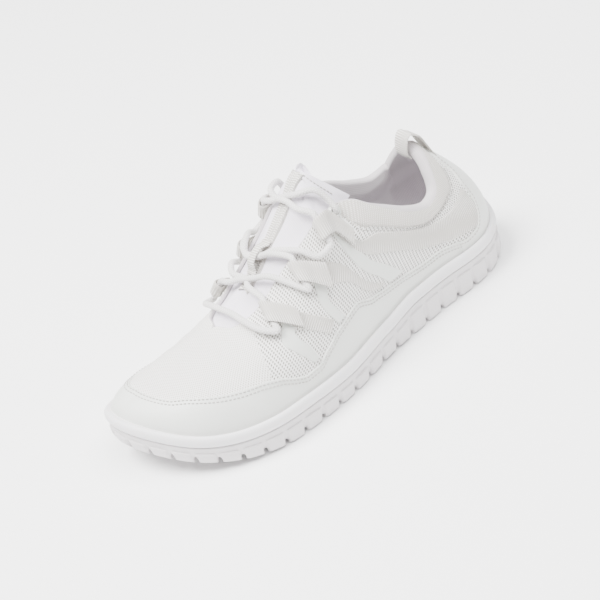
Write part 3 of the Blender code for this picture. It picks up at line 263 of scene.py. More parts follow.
INNER_SECTIONS = (
    (0.000, 0.132, 0.016, 1.000 * COLLAR_HEIGHT, 1.00, 60, 9, 0.38, 0.35),
    (0.060, 0.137, -0.083, 0.960 * COLLAR_HEIGHT, 1.00, 62, 7, 0.36, 0.35),
    (0.130, 0.149, -0.167, 0.861 * COLLAR_HEIGHT, 1.00, 66, 4, 0.34, 0.35),
    (0.200, 0.167, -0.224, 0.763 * COLLAR_HEIGHT, 1.00, 72, 2, 0.33, 0.35),
    (0.270, 0.207, -0.260, 0.723 * COLLAR_HEIGHT, 1.00, 74, 2, 0.33, 0.35),
    (0.330, 0.259, -0.276, 0.780 * COLLAR_HEIGHT, 1.00, 70, 3, 0.34, 0.35),
    (0.385, 0.311, -0.266, 0.890 * COLLAR_HEIGHT, 1.00, 62, 3, 0.35, 0.35),
    (0.430, 0.356, -0.240, 0.994 * COLLAR_HEIGHT, 1.00, 52, 2, 0.34, 0.34),
    (0.470, 0.415, -0.031, 1.000 * INSTEP_HEIGHT, 0.67, 20, 0, 0.31, 0.31),
    (0.530, 0.470, -0.031, 0.874 * INSTEP_HEIGHT, 0.68, 8, -3, 0.31, 0.31),
    (0.600, 0.544, -0.031, 0.712 * INSTEP_HEIGHT, 0.68, 0, -5, 0.31, 0.33),
    (0.665, 0.626, -0.031, 0.568 * INSTEP_HEIGHT, 0.70, 0, -8, 0.31, 0.37),
    (0.715, 0.681, -0.031, 0.514 * INSTEP_HEIGHT, 0.79, 0, -10, 0.31, 0.38),
    (0.755, 0.726, -0.042, 0.486 * INSTEP_HEIGHT, 1.00, 0, -12, 0.31, 0.38),
    (0.800, 0.778, -0.063, 1.120 * TOE_HEIGHT, 1.00, 0, -12, 0.33, 0.38),
    (0.840, 0.822, -0.089, 1.050 * TOE_HEIGHT, 1.00, 0, -8, 0.36, 0.42),
    (0.880, 0.859, -0.104, 1.000 * TOE_HEIGHT, 1.00, 0, -3, 0.38, 0.45),
    (0.920, 0.859, -0.104, 1.000 * TOE_HEIGHT, 1.00, 0, 2, 0.36, 0.46),
    (0.960, 0.859, -0.104, 1.000 * TOE_HEIGHT, 1.00, 0, 3, 0.30, 0.46),
    (1.000, 0.859, -0.104, 1.000 * TOE_HEIGHT, 1.00, 0, 3, 0.24, 0.46),
)
LAST_SECTION = len(OUTER_SECTIONS) - 1
COLLAR_END = 7.0
THROAT_END = 13.0
POLE_START = 16.0


def hermite(knots, rows, tangents, at):
    """Cubic through the rows with the given tangents."""
    cell = np.clip(np.searchsorted(knots, at, side="right") - 1, 0, len(knots) - 2)
    span = knots[cell + 1] - knots[cell]
    part = (at - knots[cell]) / span
    if rows.ndim > 1:
        span = span[..., None]
        part = part[..., None]
    start = (2 * part**3 - 3 * part**2 + 1) * rows[cell]
    start_pull = (part**3 - 2 * part**2 + part) * span * tangents[cell]
    end = (3 * part**2 - 2 * part**3) * rows[cell + 1]
    end_pull = (part**3 - part**2) * span * tangents[cell + 1]
    return start + start_pull + end + end_pull


def smooth_table(knots, rows, at):
    """Read a table at one or more places, smoothly and without overshoot."""
    knots = np.asarray(knots, float)
    rows = np.asarray(rows, float)
    at = np.clip(np.asarray(at, float), knots[0], knots[-1])
    span = np.diff(knots).reshape((-1,) + (1,) * (rows.ndim - 1))
    slope = np.diff(rows, axis=0) / span
    before = slope[:-1]
    after = slope[1:]
    same_way = before * after > 0
    total = np.where(same_way, before + after, 1.0)
    tangents = np.zeros_like(rows)
    tangents[1:-1] = np.where(same_way, 2 * before * after / total, 0.0)
    tangents[0] = slope[0]
    tangents[-1] = slope[-1]
    return hermite(knots, rows, tangents, at)


def ramp(value, low, high):
    """Ease from 0 at low to 1 at high."""
    part = np.clip((np.asarray(value, float) - low) / (high - low), 0.0, 1.0)
    return part * part * (3 - 2 * part)


def unit(vectors):
    """Vectors scaled to length one."""
    length = np.linalg.norm(vectors, axis=-1, keepdims=True)
    return vectors / np.maximum(length, 1e-12)


def dense_outline(steps=600):
    """Closed sole outline as shares around and points; 0 is the heel's back, 0.5 the toe tip."""
    shares = np.array(OUTER_OUTLINE + INNER_OUTLINE)
    corners = shares * (LENGTH, BALL_WIDTH)
    wrapped = np.vstack([corners[-3:], corners, corners[:4]])
    chords = np.linalg.norm(np.diff(wrapped, axis=0), axis=1) ** 0.5
    knots = np.concatenate([[0.0], np.cumsum(chords)])
    tangents = np.gradient(wrapped, knots, axis=0)
    around = []
    points = []
    toe = 3 + len(OUTER_OUTLINE) - 1
    close = 3 + len(corners)
    for first, last, start in ((3, toe, 0.0), (toe, close, 0.5)):
        places = np.linspace(knots[first], knots[last], steps)
        run = hermite(knots, wrapped, tangents, places)
        lengths = np.linalg.norm(np.diff(run, axis=0), axis=1)
        gone = np.concatenate([[0.0], np.cumsum(lengths)])
        around.append(start + 0.5 * gone[:-1] / gone[-1])
        points.append(run[:-1])
    return np.concatenate(around), np.vstack(points)


AROUND, OUTLINE = dense_outline()
# The outline three times over, so that a place just past either end reads on
AROUND_WIDE = np.concatenate([AROUND - 1, AROUND, AROUND + 1])
OUTLINE_WIDE = np.vstack([OUTLINE] * 3)


def outline_point(around, inset=0.0):
    """Point of the sole outline at a share around it, moved inwards."""
    around = np.asarray(around, float)

    def at(place):
        x = np.interp(place, AROUND_WIDE, OUTLINE_WIDE[:, 0])
        y = np.interp(place, AROUND_WIDE, OUTLINE_WIDE[:, 1])
        return np.stack([x, y], -1)

    along = at(around + 0.008) - at(around - 0.008)
    outward = unit(np.stack([-along[..., 1], along[..., 0]], -1))
    return at(around) - outward * np.asarray(inset, float)[..., None]


def bottom_height(x):
    """Height of the sole's bottom: heel lift, arch and toe spring."""
    knots = [row[0] * LENGTH for row in BOTTOM_LINE]
    shares = smooth_table(knots, [row[1:] for row in BOTTOM_LINE], x)
    return shares @ np.array([HEEL_LIFT, ARCH_RISE, TOE_SPRING])


def groove_height(x):
    """Height of the line between the outsole and the bead above it."""
    knots = [row[0] * LENGTH for row in WALL_LINE]
    return bottom_height(x) + smooth_table(knots, [row[1] * OUTSOLE_WALL for row in WALL_LINE], x)


OUTER_TABLE = np.array(OUTER_SECTIONS)
INNER_TABLE = np.array(INNER_SECTIONS)


def section_rows(side, section):
    """Named values of the ribs at one or more sections."""
    table = OUTER_TABLE if side > 0 else INNER_TABLE
    values = smooth_table(np.arange(len(table)), table, section)
    return dict(zip(SECTION_COLUMNS, np.moveaxis(values, -1, 0)))


def rib_around(side, section):
    """Place round the sole's outline from which a rib rises."""
    base_share = np.clip(section_rows(side, section)["base"], 0.0, 1.0)
    return 0.5 * base_share if side > 0 else 1.0 - 0.5 * base_share


def upper_rib(side, section, share):
    """Point of the upper's outer face: section from heel to toe, share of the whole rib."""
    row = section_rows(side, section)
    base = outline_point(rib_around(side, section), BEAD_WIDTH + UPPER_GAP)
    base_z = groove_height(base[..., 0]) + UPPER_BASE * BEAD_HEIGHT
    base = np.concatenate([base, base_z[..., None]], -1)
    top = np.stack([row["x"] * LENGTH, row["y"] * BALL_WIDTH, row["z"]], -1)
    inward = unit(top[..., :2] - base[..., :2])
    chord = np.linalg.norm(top - base, axis=-1)
    lean = np.radians(row["lean"])
    slope = np.radians(row["slope"])
    low_way = np.concatenate([-inward * np.sin(lean)[..., None], np.cos(lean)[..., None]], -1)
    high_way = np.concatenate([inward * np.cos(slope)[..., None], np.sin(slope)[..., None]], -1)
    low = base + low_way * (chord * row["low"])[..., None]
    high = top - high_way * (chord * row["high"])[..., None]
    w = np.asarray(share, float)[..., None]
    return (1 - w) ** 3 * base + 3 * (1 - w) ** 2 * w * low + 3 * (1 - w) * w**2 * high + w**3 * top


def opening_share(side, section):
    """Share of the rib that is kept below the opening."""
    return section_rows(side, section)["cut"]


def raw_normal(side, section, share):
    """Outward normal of one side's face, before the sides are joined."""
    share = np.clip(share, 0.0, 0.97)
    ahead = np.minimum(section + 0.03, LAST_SECTION)
    behind = np.maximum(section - 0.03, 0.0)
    forward = upper_rib(side, ahead, share) - upper_rib(side, behind, share)
    upward = upper_rib(side, section, np.minimum(share + 0.01, 1)) - upper_rib(
        side, section, np.maximum(share - 0.01, 0)
    )
    return unit(np.cross(upward, forward) * side)


def pole_normal():
    """Outward normal at the point on the toe where its ribs meet."""
    place = (np.float64(POLE_START), np.float64(0.97))
    return unit(raw_normal(1, *place) + raw_normal(-1, *place))


POLE_NORMAL = pole_normal()


def upper_normal(side, section, share):
    """Outward normal, the same for both sides where they meet at heel, ridge and toe."""
    section = np.asarray(section, float)
    share = np.asarray(share, float)
    own = raw_normal(side, section, share)
    other = raw_normal(-side, section, share)
    heel = 1 - ramp(section, 0.0, 1.0)
    toe = ramp(section, LAST_SECTION - 1, LAST_SECTION)
    ridge = ramp(share, 0.85, 1.0) * ramp(section, COLLAR_END, COLLAR_END + 1)
    blend = 0.5 * np.maximum(np.maximum(heel, toe), ridge)[..., None]
    normal = own * (1 - blend) + other * blend
    at_pole = (ramp(section, POLE_START - 1, POLE_START) * ramp(share, 0.75, 1.0))[..., None]
    return unit(unit(normal) * (1 - at_pole) + POLE_NORMAL * at_pole)


def upper_point(side, section, share, out=0.0):
    """Point of the upper's outer face, moved outwards along its normal."""
    section = np.asarray(section, float)
    share = np.asarray(share, float)
    section, share = np.broadcast_arrays(section, share)
    out = np.asarray(out, float)[..., None]
    return upper_rib(side, section, share) + upper_normal(side, section, share) * out


ORIGIN = np.array([LENGTH / 2, SIDE_SHIFT, 0.0])
# A point well inside the shoe, away from which its outer faces look
MIDDLE = np.array([0.135, 0.008, 0.030])

# Rows, columns and sides of the fine meshes
SOLE_FINE = 480
OUTSOLE_COLUMNS = 1040
INSOLE_COLUMNS = 240
INSOLE_RINGS = 16
RIB_COLUMNS = 12
RIB_ROWS = 66
LINING_ROWS = 36
RIM_STEPS = 9
PANEL_ROWS = 26
COUNTER_COLUMNS = 44
RAND_COLUMNS = 210
STRAP_ROWS = 60
STRAP_COLUMNS = 15
TONGUE_ROWS = 110
TONGUE_COLUMNS = 49
STRIP_ROWS = 90
STRIP_COLUMNS = 15
TAPE_SIDES = 12
ROUND_SIDES = 48
THREAD_SIDES = 6
LINE_STEPS = 400
STITCH_LINE_STEPS = 120
HEM_LINE_STEPS = 60

# Angles in degrees over which a mesh edge is drawn sharp
SHARP = 40
SOLE_SHARP = 50
BEAD_SHARP = 60
TAPE_SHARP = 70
THREAD_SHARP = 80

# Seam under the padded collar: section, share of the rib
COLLAR_SEAM = (
    (0.0, 0.88), (1.0, 0.80), (2.03, 0.71), (2.73, 0.77), (3.43, 0.79), (4.30, 0.79),
    (5.23, 0.81), (6.23, 0.82), (7.17, 0.81), (7.6, 0.86),
)
# Creases pressed into the cloth: side, start and end as section and share, height in metres
# (a trough is negative), half width in metres
FOLDS = (
    (1, 12.3, 0.62, 13.1, 0.97, -0.0008, 0.0032),
    (1, 12.9, 0.52, 13.9, 0.90, 0.0006, 0.0040),
    (1, 13.4, 0.50, 14.6, 0.86, -0.0006, 0.0036),
    (-1, 12.4, 0.60, 13.2, 0.97, -0.0008, 0.0034),
    (-1, 13.2, 0.48, 14.2, 0.90, -0.0005, 0.0040),
    (1, 10.9, 0.35, 11.6, 0.62, -0.0007, 0.0038),
    (1, 11.4, 0.36, 12.1, 0.58, 0.0005, 0.0036),
    (-1, 10.8, 0.35, 11.6, 0.66, -0.0007, 0.0038),
    (1, 8.1, 0.30, 9.0, 0.42, -0.0005, 0.0036),
    (1, 6.6, 0.46, 7.6, 0.34, -0.0005, 0.0040),
    (1, 4.6, 0.40, 5.6, 0.56, -0.0006, 0.0044),
    (1, 2.4, 0.34, 3.4, 0.62, -0.0007, 0.0042),
    (-1, 2.2, 0.34, 3.4, 0.64, -0.0007, 0.0042),
    (-1, 4.8, 0.36, 6.2, 0.58, -0.0007, 0.0048),
    (-1, 7.2, 0.40, 8.4, 0.56, -0.0006, 0.0044),
)
# Metres of one section along the shoe and of one whole rib, near enough for small relief
SECTION_SPAN = 0.0145
RIB_SPAN = 0.085
# Padded collar: how far it swells, depth and half width of the groove at its seam, and the
# sections over which each fades out towards the throat
COLLAR_PUFF = 0.0007
SEAM_DEPTH = 0.0006
SEAM_WIDTH = 0.0013
COLLAR_FADE = (6.6, 7.8)
SEAM_FADE = (7.0, 7.6)
# Where the collar's pad starts: section, and shares of the rib
PAD_START = 5.0
PAD_SHARES = (0.55, 0.9)
# Sections up to which the collar's ribbed knit goes
KNIT_END = COLLAR_END + 0.4
# Material slots of the upper's cloth
MESH_SLOT, KNIT_SLOT, VAMP_SLOT = range(3)
# Keeps the first and the last column of the cloth apart, where its map starts and ends
HEEL_GAP = 0.00001
# Section from which the toes' finer knit starts
VAMP_START = 11.3

# Edge blocks of the tread: insets at the foot and the head, and how far they go into the sole
BLOCK_FOOT = LUG_FOOT + 0.0006
BLOCK_HEAD = SCALLOP_INSET + 0.0012
BLOCK_SINK = 0.0012
# Metres from a lug's side over which the sole's side eases from lug to gap
LUG_EASE = (-0.0013, 0.0006)
LUG_BEVEL = 0.0005
# Side of the outsole from the tread up: inset between the lugs and at a lug, measured
# from, amount between the lugs and at a lug, in metres
OUTSOLE_SKIN = (
    (0.0075, 0.0075, "over", TREAD_DEPTH, TREAD_DEPTH),
    (0.0048, 0.0048, "over", TREAD_DEPTH, TREAD_DEPTH),
    (0.0036, 0.0030, "over", TREAD_DEPTH + 0.0002, 0.0006),
    (0.0030, 0.0016, "over", TREAD_DEPTH + 0.0005, 0.0002),
    (0.0026, 0.0011, "over", TREAD_DEPTH + 0.0010, 0.0004),
    (0.0022, 0.0007, "over", TREAD_DEPTH + 0.0016, 0.0010),
    (0.0018, 0.0004, "over", TREAD_DEPTH + 0.0024, 0.0022),
    (0.0013, 0.0001, "over", TREAD_DEPTH + 0.0032, 0.0038),
    (0.0009, 0.0000, "under", LEDGE_DROP + 0.0010, LEDGE_DROP + 0.0006),
    (0.0008, 0.0000, "under", LEDGE_DROP + 0.0002, LEDGE_DROP + 0.0001),
    (0.0007, 0.0003, "under", LEDGE_DROP - 0.0002, LEDGE_DROP - 0.0003),
    (0.0007, 0.0010, "under", LEDGE_DROP - 0.0005, LEDGE_DROP - 0.0004),
    (0.0007, 0.0010, "under", 0.0026, 0.0026), (0.0007, 0.0007, "under", 0.0012, 0.0012),
    (0.0006, 0.0006, "under", 0.0007, 0.0007), (0.0008, 0.0008, "under", 0.0002, 0.0002),
    (0.0014, 0.0014, "under", -0.0001, -0.0001), (0.0040, 0.0040, "under", 0.0001, 0.0001),
)
# Bead round the foot of the upper: share of its width inwards, share of its height
BEAD_SKIN = (
    (1.00, 0.00), (0.52, 0.01), (0.36, 0.05), (0.18, 0.11), (0.04, 0.22), (-0.05, 0.38),
    (-0.08, 0.55), (-0.04, 0.70), (0.06, 0.83), (0.22, 0.93), (0.42, 0.99), (0.62, 1.00),
    (0.86, 0.95), (1.10, 0.86), (1.70, 0.74),
)

# Footbed: rise towards its edge, width of the rising band, drop and radius of its rounded
# edge, and how fast the rounding ends on the way in
INSOLE_RISE = 0.0006
INSOLE_BAND = 0.016
INSOLE_DROP = 0.0010
INSOLE_ROUND = 0.0012
INSOLE_EASE = 0.02

# Pressed film: how far its edge sinks into the cloth, how far it stands proud, the same for
# the heel counter, the radius of its edge, how far the rand laps under the counter in
# sections, and how its rows crowd towards the upper edge
FILM_SINK = -0.0004
FILM_RISE = 0.0008
COUNTER_RISE = FILM_RISE + 0.0004
EDGE_RADIUS = 0.0005
PANEL_LAP = 0.1
PANEL_CROWD = 1.9

# Straps: how far they stand proud, and how much lower the second band lies
STRAP_RISE = 0.0008
BRANCH_DROP = 0.0001
# How far a band runs on under the panel it ends at, as a share of its last stretch; the
# highest band runs on to the heel counter
SHORT_END = 0.35
LONG_END = 1.6

# Woven tape: radius of its edge as a share of its thickness, and thickness left at the edge
TAPE_ROUND = 0.6
TAPE_EDGE = 0.25

# Tongue: where it starts, sections and reach over which it goes under the upper, its
# swelling, its wrinkles with their turns along and across, and the groove of its hem
TONGUE_FOOT = THROAT_END + 0.3
TONGUE_UNDER = (THROAT_END - 1.7, THROAT_END - 0.7)
TONGUE_BURIED = (0.15, 0.6)
TONGUE_PUFF = 0.0006
TONGUE_WRINKLE = 0.00035
WRINKLE_TURNS = (5.2, 3.0)
TONGUE_HEM = 0.0006
TONGUE_HEM_WIDTH = 0.05
TONGUE_HEM_LINE = 7.16

# Tongue strip: height and radius of its edge
STRIP_FOOT = 0.0003
STRIP_EDGE = 0.0008
# How far the strip's top end goes into the tongue's folded edge
STRIP_TUCK = 0.0004

# Section of an eyelet ring from the cloth over its top and down the hole: radius, height
EYELET_PROFILE = (
    (EYELET_RADIUS + 0.0002, -0.0003), (EYELET_RADIUS, 0.0010),
    (EYELET_RADIUS - 0.0003, 0.0017), (EYELET_RADIUS - 0.0008, 0.0021),
    (EYELET_HOLE + 0.0005, 0.0020), (EYELET_HOLE + 0.0001, 0.0014),
    (EYELET_HOLE, 0.0004), (EYELET_HOLE, -0.0028),
)
# How the lace goes down into its eyelet, in metres out from the upper
LACE_INTO_EYELET = (0.0026, -0.0016)
# The lace's second half is a little thinner, so the halves don't share a skin in the bar
SECOND_HALF = 0.98

# One stitch: stations along its length, their heights, its radius and how it thins at the ends
STITCH_PARTS = (-0.5, -0.36, 0.0, 0.36, 0.5)
STITCH_LIFTS = (-0.0003, 0.0001, 0.00022, 0.0001, -0.0003)
STITCH_RADIUS = 0.00032
STITCH_TIP = 0.45
# Stitches beside the collar's seam: first and last section, metres from the seam
SEAM_STITCHES = (1.2, 7.2)
SEAM_ROWS = (0.0016, -0.0016)
# Reach across the tongue of its hem's stitches, and how far they stand on the cloth
HEM_REACH = 0.86
HEM_LIFT = 0.0002
# Metres over which the way out from a stitched surface is read
OUT_STEP = 0.001

# Noise scales: soft patches about 17 mm wide, fibres about 0.4 mm, clouds about 22 mm wide
BLOTCH_SCALE = 60.0
FIBRE_SCALE = 2600.0
CLOUD_SCALE = 45.0


def linear(code):
    """Linear red, green and blue of an sRGB hex colour."""
    parts = [int(code[start:start + 2], 16) / 255 for start in (1, 3, 5)]
    return tuple(
        part / 12.92 if part <= 0.04045 else ((part + 0.055) / 1.055) ** 2.4 for part in parts
    )


def add_node(tree, kind, settings=None, links=None):
    """Add a node; settings fill its own values or its sockets, links join its inputs."""
    node = tree.nodes.new(kind)
    for name, value in (settings or {}).items():
        if isinstance(name, str) and hasattr(node, name):
            setattr(node, name, value)
        else:
            node.inputs[name].default_value = value
    for name, source in (links or {}).items():
        tree.links.new(source, node.inputs[name])
    return node


def start_material(name, surface):
    """New material with its shader set; returns the material, its tree and the shader."""
    old = bpy.data.materials.get(name)
    if old:
        return old, None, None
    material = bpy.data.materials.new(name)
    material.use_nodes = True
    tree = material.node_tree
    shader = tree.nodes["Principled BSDF"]
    for socket, value in surface.items():
        shader.inputs[socket].default_value = value
    return material, tree, shader


def band_scale(pitch):
    """Scale of the wave texture that gives one band each pitch, in metres."""
    return math.tau / 20 / pitch


def woven(name, colour, shade, pitch, turns, surface, depth, between="MULTIPLY", gaps=(0.0, 1.0)):
    """Cloth of two crossing sets of threads, drawn along the piece's own cloth map, with painted
    shade in the gaps between them.

    gaps: how high the threads stand where the gap between them ends and where they are full.
    """
    material, tree, shader = start_material(name, surface)
    if tree is None:
        return material
    spread = add_node(tree, "ShaderNodeUVMap", {"uv_map": "cloth"})
    waves = []
    for turn, across in zip(turns, pitch):
        turned = add_node(
            tree, "ShaderNodeMapping", {"Rotation": (0, 0, math.radians(turn))},
            {"Vector": spread.outputs["UV"]},
        )
        waves.append(add_node(
            tree, "ShaderNodeTexWave",
            {"wave_profile": "SIN", "Scale": band_scale(across), "Distortion": 0.25,
             "Detail": 1.0, "Detail Scale": 0.3},
            {"Vector": turned.outputs["Vector"]},
        ))
    crossing = add_node(
        tree, "ShaderNodeMath", {"operation": between},
        {0: waves[0].outputs["Fac"], 1: waves[1].outputs["Fac"]},
    )
    threads = add_node(
        tree, "ShaderNodeMapRange", {"From Min": gaps[0], "From Max": gaps[1]},
        {"Value": crossing.outputs[0]},
    )
    body = add_node(tree, "ShaderNodeTexCoord")
    blotch = add_node(
        tree, "ShaderNodeTexNoise", {"Scale": BLOTCH_SCALE, "Detail": 4.0},
        {"Vector": body.outputs["Object"]},
    )
    fibre = add_node(
        tree, "ShaderNodeTexNoise", {"Scale": FIBRE_SCALE, "Detail": 2.0},
        {"Vector": body.outputs["Object"]},
    )
    # Painted shade: colour runs from the shade colour in the gaps between threads to the threads'
    # own colour
    tone = add_node(
        tree, "ShaderNodeMix",
        {"data_type": "RGBA", 6: (*shade, 1.0), 7: (*colour, 1.0)},
        {0: threads.outputs[0]},
    )
    dirt = add_node(
        tree, "ShaderNodeMapRange", {"To Min": 0.96, "To Max": 1.0},
        {"Value": blotch.outputs["Fac"]},
    )
    final = add_node(
        tree, "ShaderNodeVectorMath", {"operation": "SCALE"},
        {0: tone.outputs[2], "Scale": dirt.outputs["Result"]},
    )
    height = add_node(
        tree, "ShaderNodeMath", {"operation": "MULTIPLY_ADD", 1: 0.25},
        {0: fibre.outputs["Fac"], 2: threads.outputs[0]},
    )
    bump = add_node(
        tree, "ShaderNodeBump", {"Strength": 0.7, "Distance": depth},
        {"Height": height.outputs[0]},
    )
    tree.links.new(final.outputs[0], shader.inputs["Base Color"])
    tree.links.new(bump.outputs["Normal"], shader.inputs["Normal"])
    return material


def moulded(name, colour, shade, grain, depth, surface, rough):
    """Plastic or rubber skin with a pressed grain, a little uneven in tone and gloss."""
    material, tree, shader = start_material(name, surface)
    if tree is None:
        return material
    body = add_node(tree, "ShaderNodeTexCoord")
    pores = add_node(
        tree, "ShaderNodeTexVoronoi", {"Scale": 1.0 / grain}, {"Vector": body.outputs["Object"]}
    )
    cloud = add_node(
        tree, "ShaderNodeTexNoise", {"Scale": CLOUD_SCALE, "Detail": 5.0},
        {"Vector": body.outputs["Object"]},
    )
    tone = add_node(
        tree, "ShaderNodeMix",
        {"data_type": "RGBA", 6: (*shade, 1.0), 7: (*colour, 1.0)},
        {0: cloud.outputs["Fac"]},
    )
    gloss = add_node(
        tree, "ShaderNodeMapRange", {"To Min": rough[0], "To Max": rough[1]},
        {"Value": cloud.outputs["Fac"]},
    )
    bump = add_node(
        tree, "ShaderNodeBump", {"Strength": 0.5, "Distance": depth},
        {"Height": pores.outputs["Distance"]},
    )
    tree.links.new(tone.outputs[2], shader.inputs["Base Color"])
    tree.links.new(gloss.outputs["Result"], shader.inputs["Roughness"])
    tree.links.new(bump.outputs["Normal"], shader.inputs["Normal"])
    return material


def mesh_fabric(sizes, colours):
    # Warp knitted polyester mesh: open diamonds with a dry, slightly fuzzy face, the diamonds
    # filled with a dark painted shade
    return woven(
        "warp_knitted_polyester_mesh", colours.mesh, colours.mesh_gap_shade,
        (sizes.mesh_pitch, sizes.mesh_pitch * 0.85), (22, -52),
        {"Roughness": 0.82, "IOR": 1.52, "Sheen Weight": 0.18, "Sheen Roughness": 0.5},
        0.0005, "MAXIMUM", (0.2, 0.85),
    )


def vamp_fabric(sizes, colours):
    # The same knit pulled tighter over the toes: smaller gaps that show less, with a lighter
    # painted shade in them
    return woven(
        "fine_warp_knitted_polyester_mesh", colours.mesh, colours.mesh_shade,
        (sizes.vamp_pitch, sizes.vamp_pitch * 0.8), (58, -24),
        {"Roughness": 0.82, "IOR": 1.52, "Sheen Weight": 0.18, "Sheen Roughness": 0.5},
        0.0003, "MAXIMUM", (0.2, 0.85),
    )


def collar_knit(sizes, colours):
    # Ribbed polyester knit: close upright ribs that catch the light in fine lines, with painted
    # shade between them
    return woven(
        "ribbed_polyester_knit", colours.mesh, colours.mesh_shade,
        (sizes.rib_pitch, sizes.rib_pitch * 0.8), (0, 90),
        {"Roughness": 0.84, "IOR": 1.52, "Sheen Weight": 0.2, "Sheen Roughness": 0.5},
        0.00035,
    )


def lining_knit(sizes, colours):
    # Brushed polyester tricot: smooth and soft, with a faint wale and painted shade between the
    # wales
    return woven(
        "brushed_polyester_tricot", colours.lining, colours.lining_shade,
        (sizes.lining_pitch, sizes.lining_pitch * 1.4), (0, 90),
        {"Roughness": 0.9, "IOR": 1.5, "Sheen Weight": 0.35, "Sheen Roughness": 0.4},
        0.00012,
    )


def inside_knit(sizes, colours):
    # The same tricot inside the shoe, painted greyer all over as painted shade for the dim inside
    # of the shoe, with painted shade between its wales
    return woven(
        "foam_backed_polyester_tricot", colours.inside, colours.inside_shade,
        (sizes.lining_pitch, sizes.lining_pitch * 1.4), (0, 90),
        {"Roughness": 0.92, "IOR": 1.5, "Sheen Weight": 0.2, "Sheen Roughness": 0.5},
        0.00012,
    )


def webbing_weave(sizes, colours):
    # Woven polyester grosgrain: cross ribs over a tight warp, with painted shade in the grooves
    # between the ribs
    return woven(
        "woven_polyester_grosgrain", colours.webbing, colours.webbing_shade,
        (sizes.webbing_pitch, sizes.webbing_pitch), (0, 4),
        {"Roughness": 0.72, "IOR": 1.53, "Sheen Weight": 0.15, "Sheen Roughness": 0.4},
        0.0005, "MULTIPLY", (0.0, 0.7),
    )


def cord_braid(sizes, colours):
    # Braided polyester cord: small slanting plaits, soft highlights, painted shade between the
    # plaits
    return woven(
        "braided_polyester_cord", colours.lace, colours.lace_shade,
        (sizes.braid_pitch, sizes.braid_pitch), (42, -42),
        {"Roughness": 0.7, "IOR": 1.53, "Sheen Weight": 0.2, "Sheen Roughness": 0.4},
        0.00035,
    )


def sewing_thread(colours):
    # Bonded nylon thread: a low gloss on each short stitch; its colour is painted much darker than
    # the cloth, as painted shade of the stitch holes and the threads' shadows
    return moulded(
        "bonded_nylon_thread", colours.thread, colours.lace_shade, 0.0004, 0.00005,
        {"IOR": 1.53}, (0.5, 0.6),
    )


def film_skin(colours):
    # Hot pressed polyurethane film: satin skin with a fine leather grain
    return moulded(
        "hot_pressed_polyurethane_film", colours.film, colours.film_shade, 0.0007, 0.00004,
        {"IOR": 1.49, "Coat Weight": 0.12, "Coat Roughness": 0.35}, (0.42, 0.52),
    )


def rubber_skin(colours):
    # Moulded rubber: matt, a little darker, with the mould's fine spark finish
    return moulded(
        "moulded_gum_rubber", colours.outsole, colours.outsole_shade, 0.0006, 0.00005,
        {"IOR": 1.52}, (0.5, 0.62),
    )


def foam_skin(colours):
    # Moulded EVA foam: smooth closed skin with a soft sheen
    return moulded(
        "moulded_eva_foam", colours.bead, colours.bead_shade, 0.0009, 0.00003,
        {"IOR": 1.48, "Subsurface Weight": 0.05}, (0.48, 0.58),
    )


def dark_gap(colours):
    # Unlit depth of a punched hole
    return moulded(
        "punched_edge", colours.lining_shade, colours.lining_shade, 0.001, 0.00002,
        {"IOR": 1.45}, (0.8, 0.9),
    )


def make_piece(name, points, faces, looks, slots=None, uvs=None, weld=False, closed=False,
               middle=MIDDLE, crease=SHARP):
    """Smooth shaded object from points in the shoe's coordinates, facing outwards."""
    mesh = bpy.data.meshes.new(name)
    mesh.from_pydata([tuple(point) for point in np.asarray(points) - ORIGIN], [], faces)
    for look in looks:
        mesh.materials.append(look)
    if slots is not None:
        mesh.polygons.foreach_set("material_index", np.asarray(slots, np.int32))
    if uvs is not None:
        layer = mesh.uv_layers.new(name="cloth")
        corners = np.zeros(len(mesh.loops), np.int32)
        mesh.loops.foreach_get("vertex_index", corners)
        layer.data.foreach_set("uv", np.asarray(uvs, float)[corners].ravel())
    body = bmesh.new()
    body.from_mesh(mesh)
    if weld:
        bmesh.ops.remove_doubles(body, verts=body.verts, dist=2e-6)
        bmesh.ops.dissolve_degenerate(body, edges=body.edges, dist=1e-7)
    bmesh.ops.recalc_face_normals(body, faces=body.faces)
    if closed:
        inside_out = body.calc_volume(signed=True) < 0
    else:
        centre = np.asarray(middle) - ORIGIN
        facing = sum(
            (np.array(face.calc_center_median()) - centre) @ np.array(face.normal)
            * face.calc_area() for face in body.faces
        )
        inside_out = facing < 0
    if inside_out:
        bmesh.ops.reverse_faces(body, faces=body.faces)
    body.to_mesh(mesh)
    body.free()
    mesh.shade_smooth()
    mesh.set_sharp_from_angle(angle=math.radians(crease))
    piece = bpy.data.objects.new(name, mesh)
    bpy.context.scene.collection.objects.link(piece)
    return piece


def place(piece, slot, *nodes):
    """Let a piece ride on the shoe and stand for its nodes, which it hides."""
    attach(piece, "root")
    if nodes:
        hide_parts(*nodes)
    return piece


def quads(rows, columns, wrap=False, first=0):
    """Quads of a grid of points stored row by row."""
    faces = []
    last = columns if wrap else columns - 1
    for row in range(rows - 1):
        for column in range(last):
            a = first + row * columns + column
            b = first + row * columns + (column + 1) % columns
            faces.append((a, b, b + columns, a + columns))
    return faces


def ladder(first, count):
    """Cap of a ring of points, as rungs between its outer and its inner side."""
    faces = [(first, first + 1, first + count - 1)]
    for rung in range(1, count // 2 - 1):
        a = first + rung
        b = first + count - rung
        faces.append((a, a + 1, b - 1, b))
    toe = first + count // 2
    faces.append((toe - 1, toe, toe + 1))
    return faces


def walked(points, axis=0):
    """Distance walked along a line of points, or along one axis of a grid of them."""
    steps = np.linalg.norm(np.diff(points, axis=axis), axis=-1)
    start = np.zeros_like(np.take(steps, [0], axis=axis))
    return np.concatenate([start, np.cumsum(steps, axis=axis)], axis=axis)


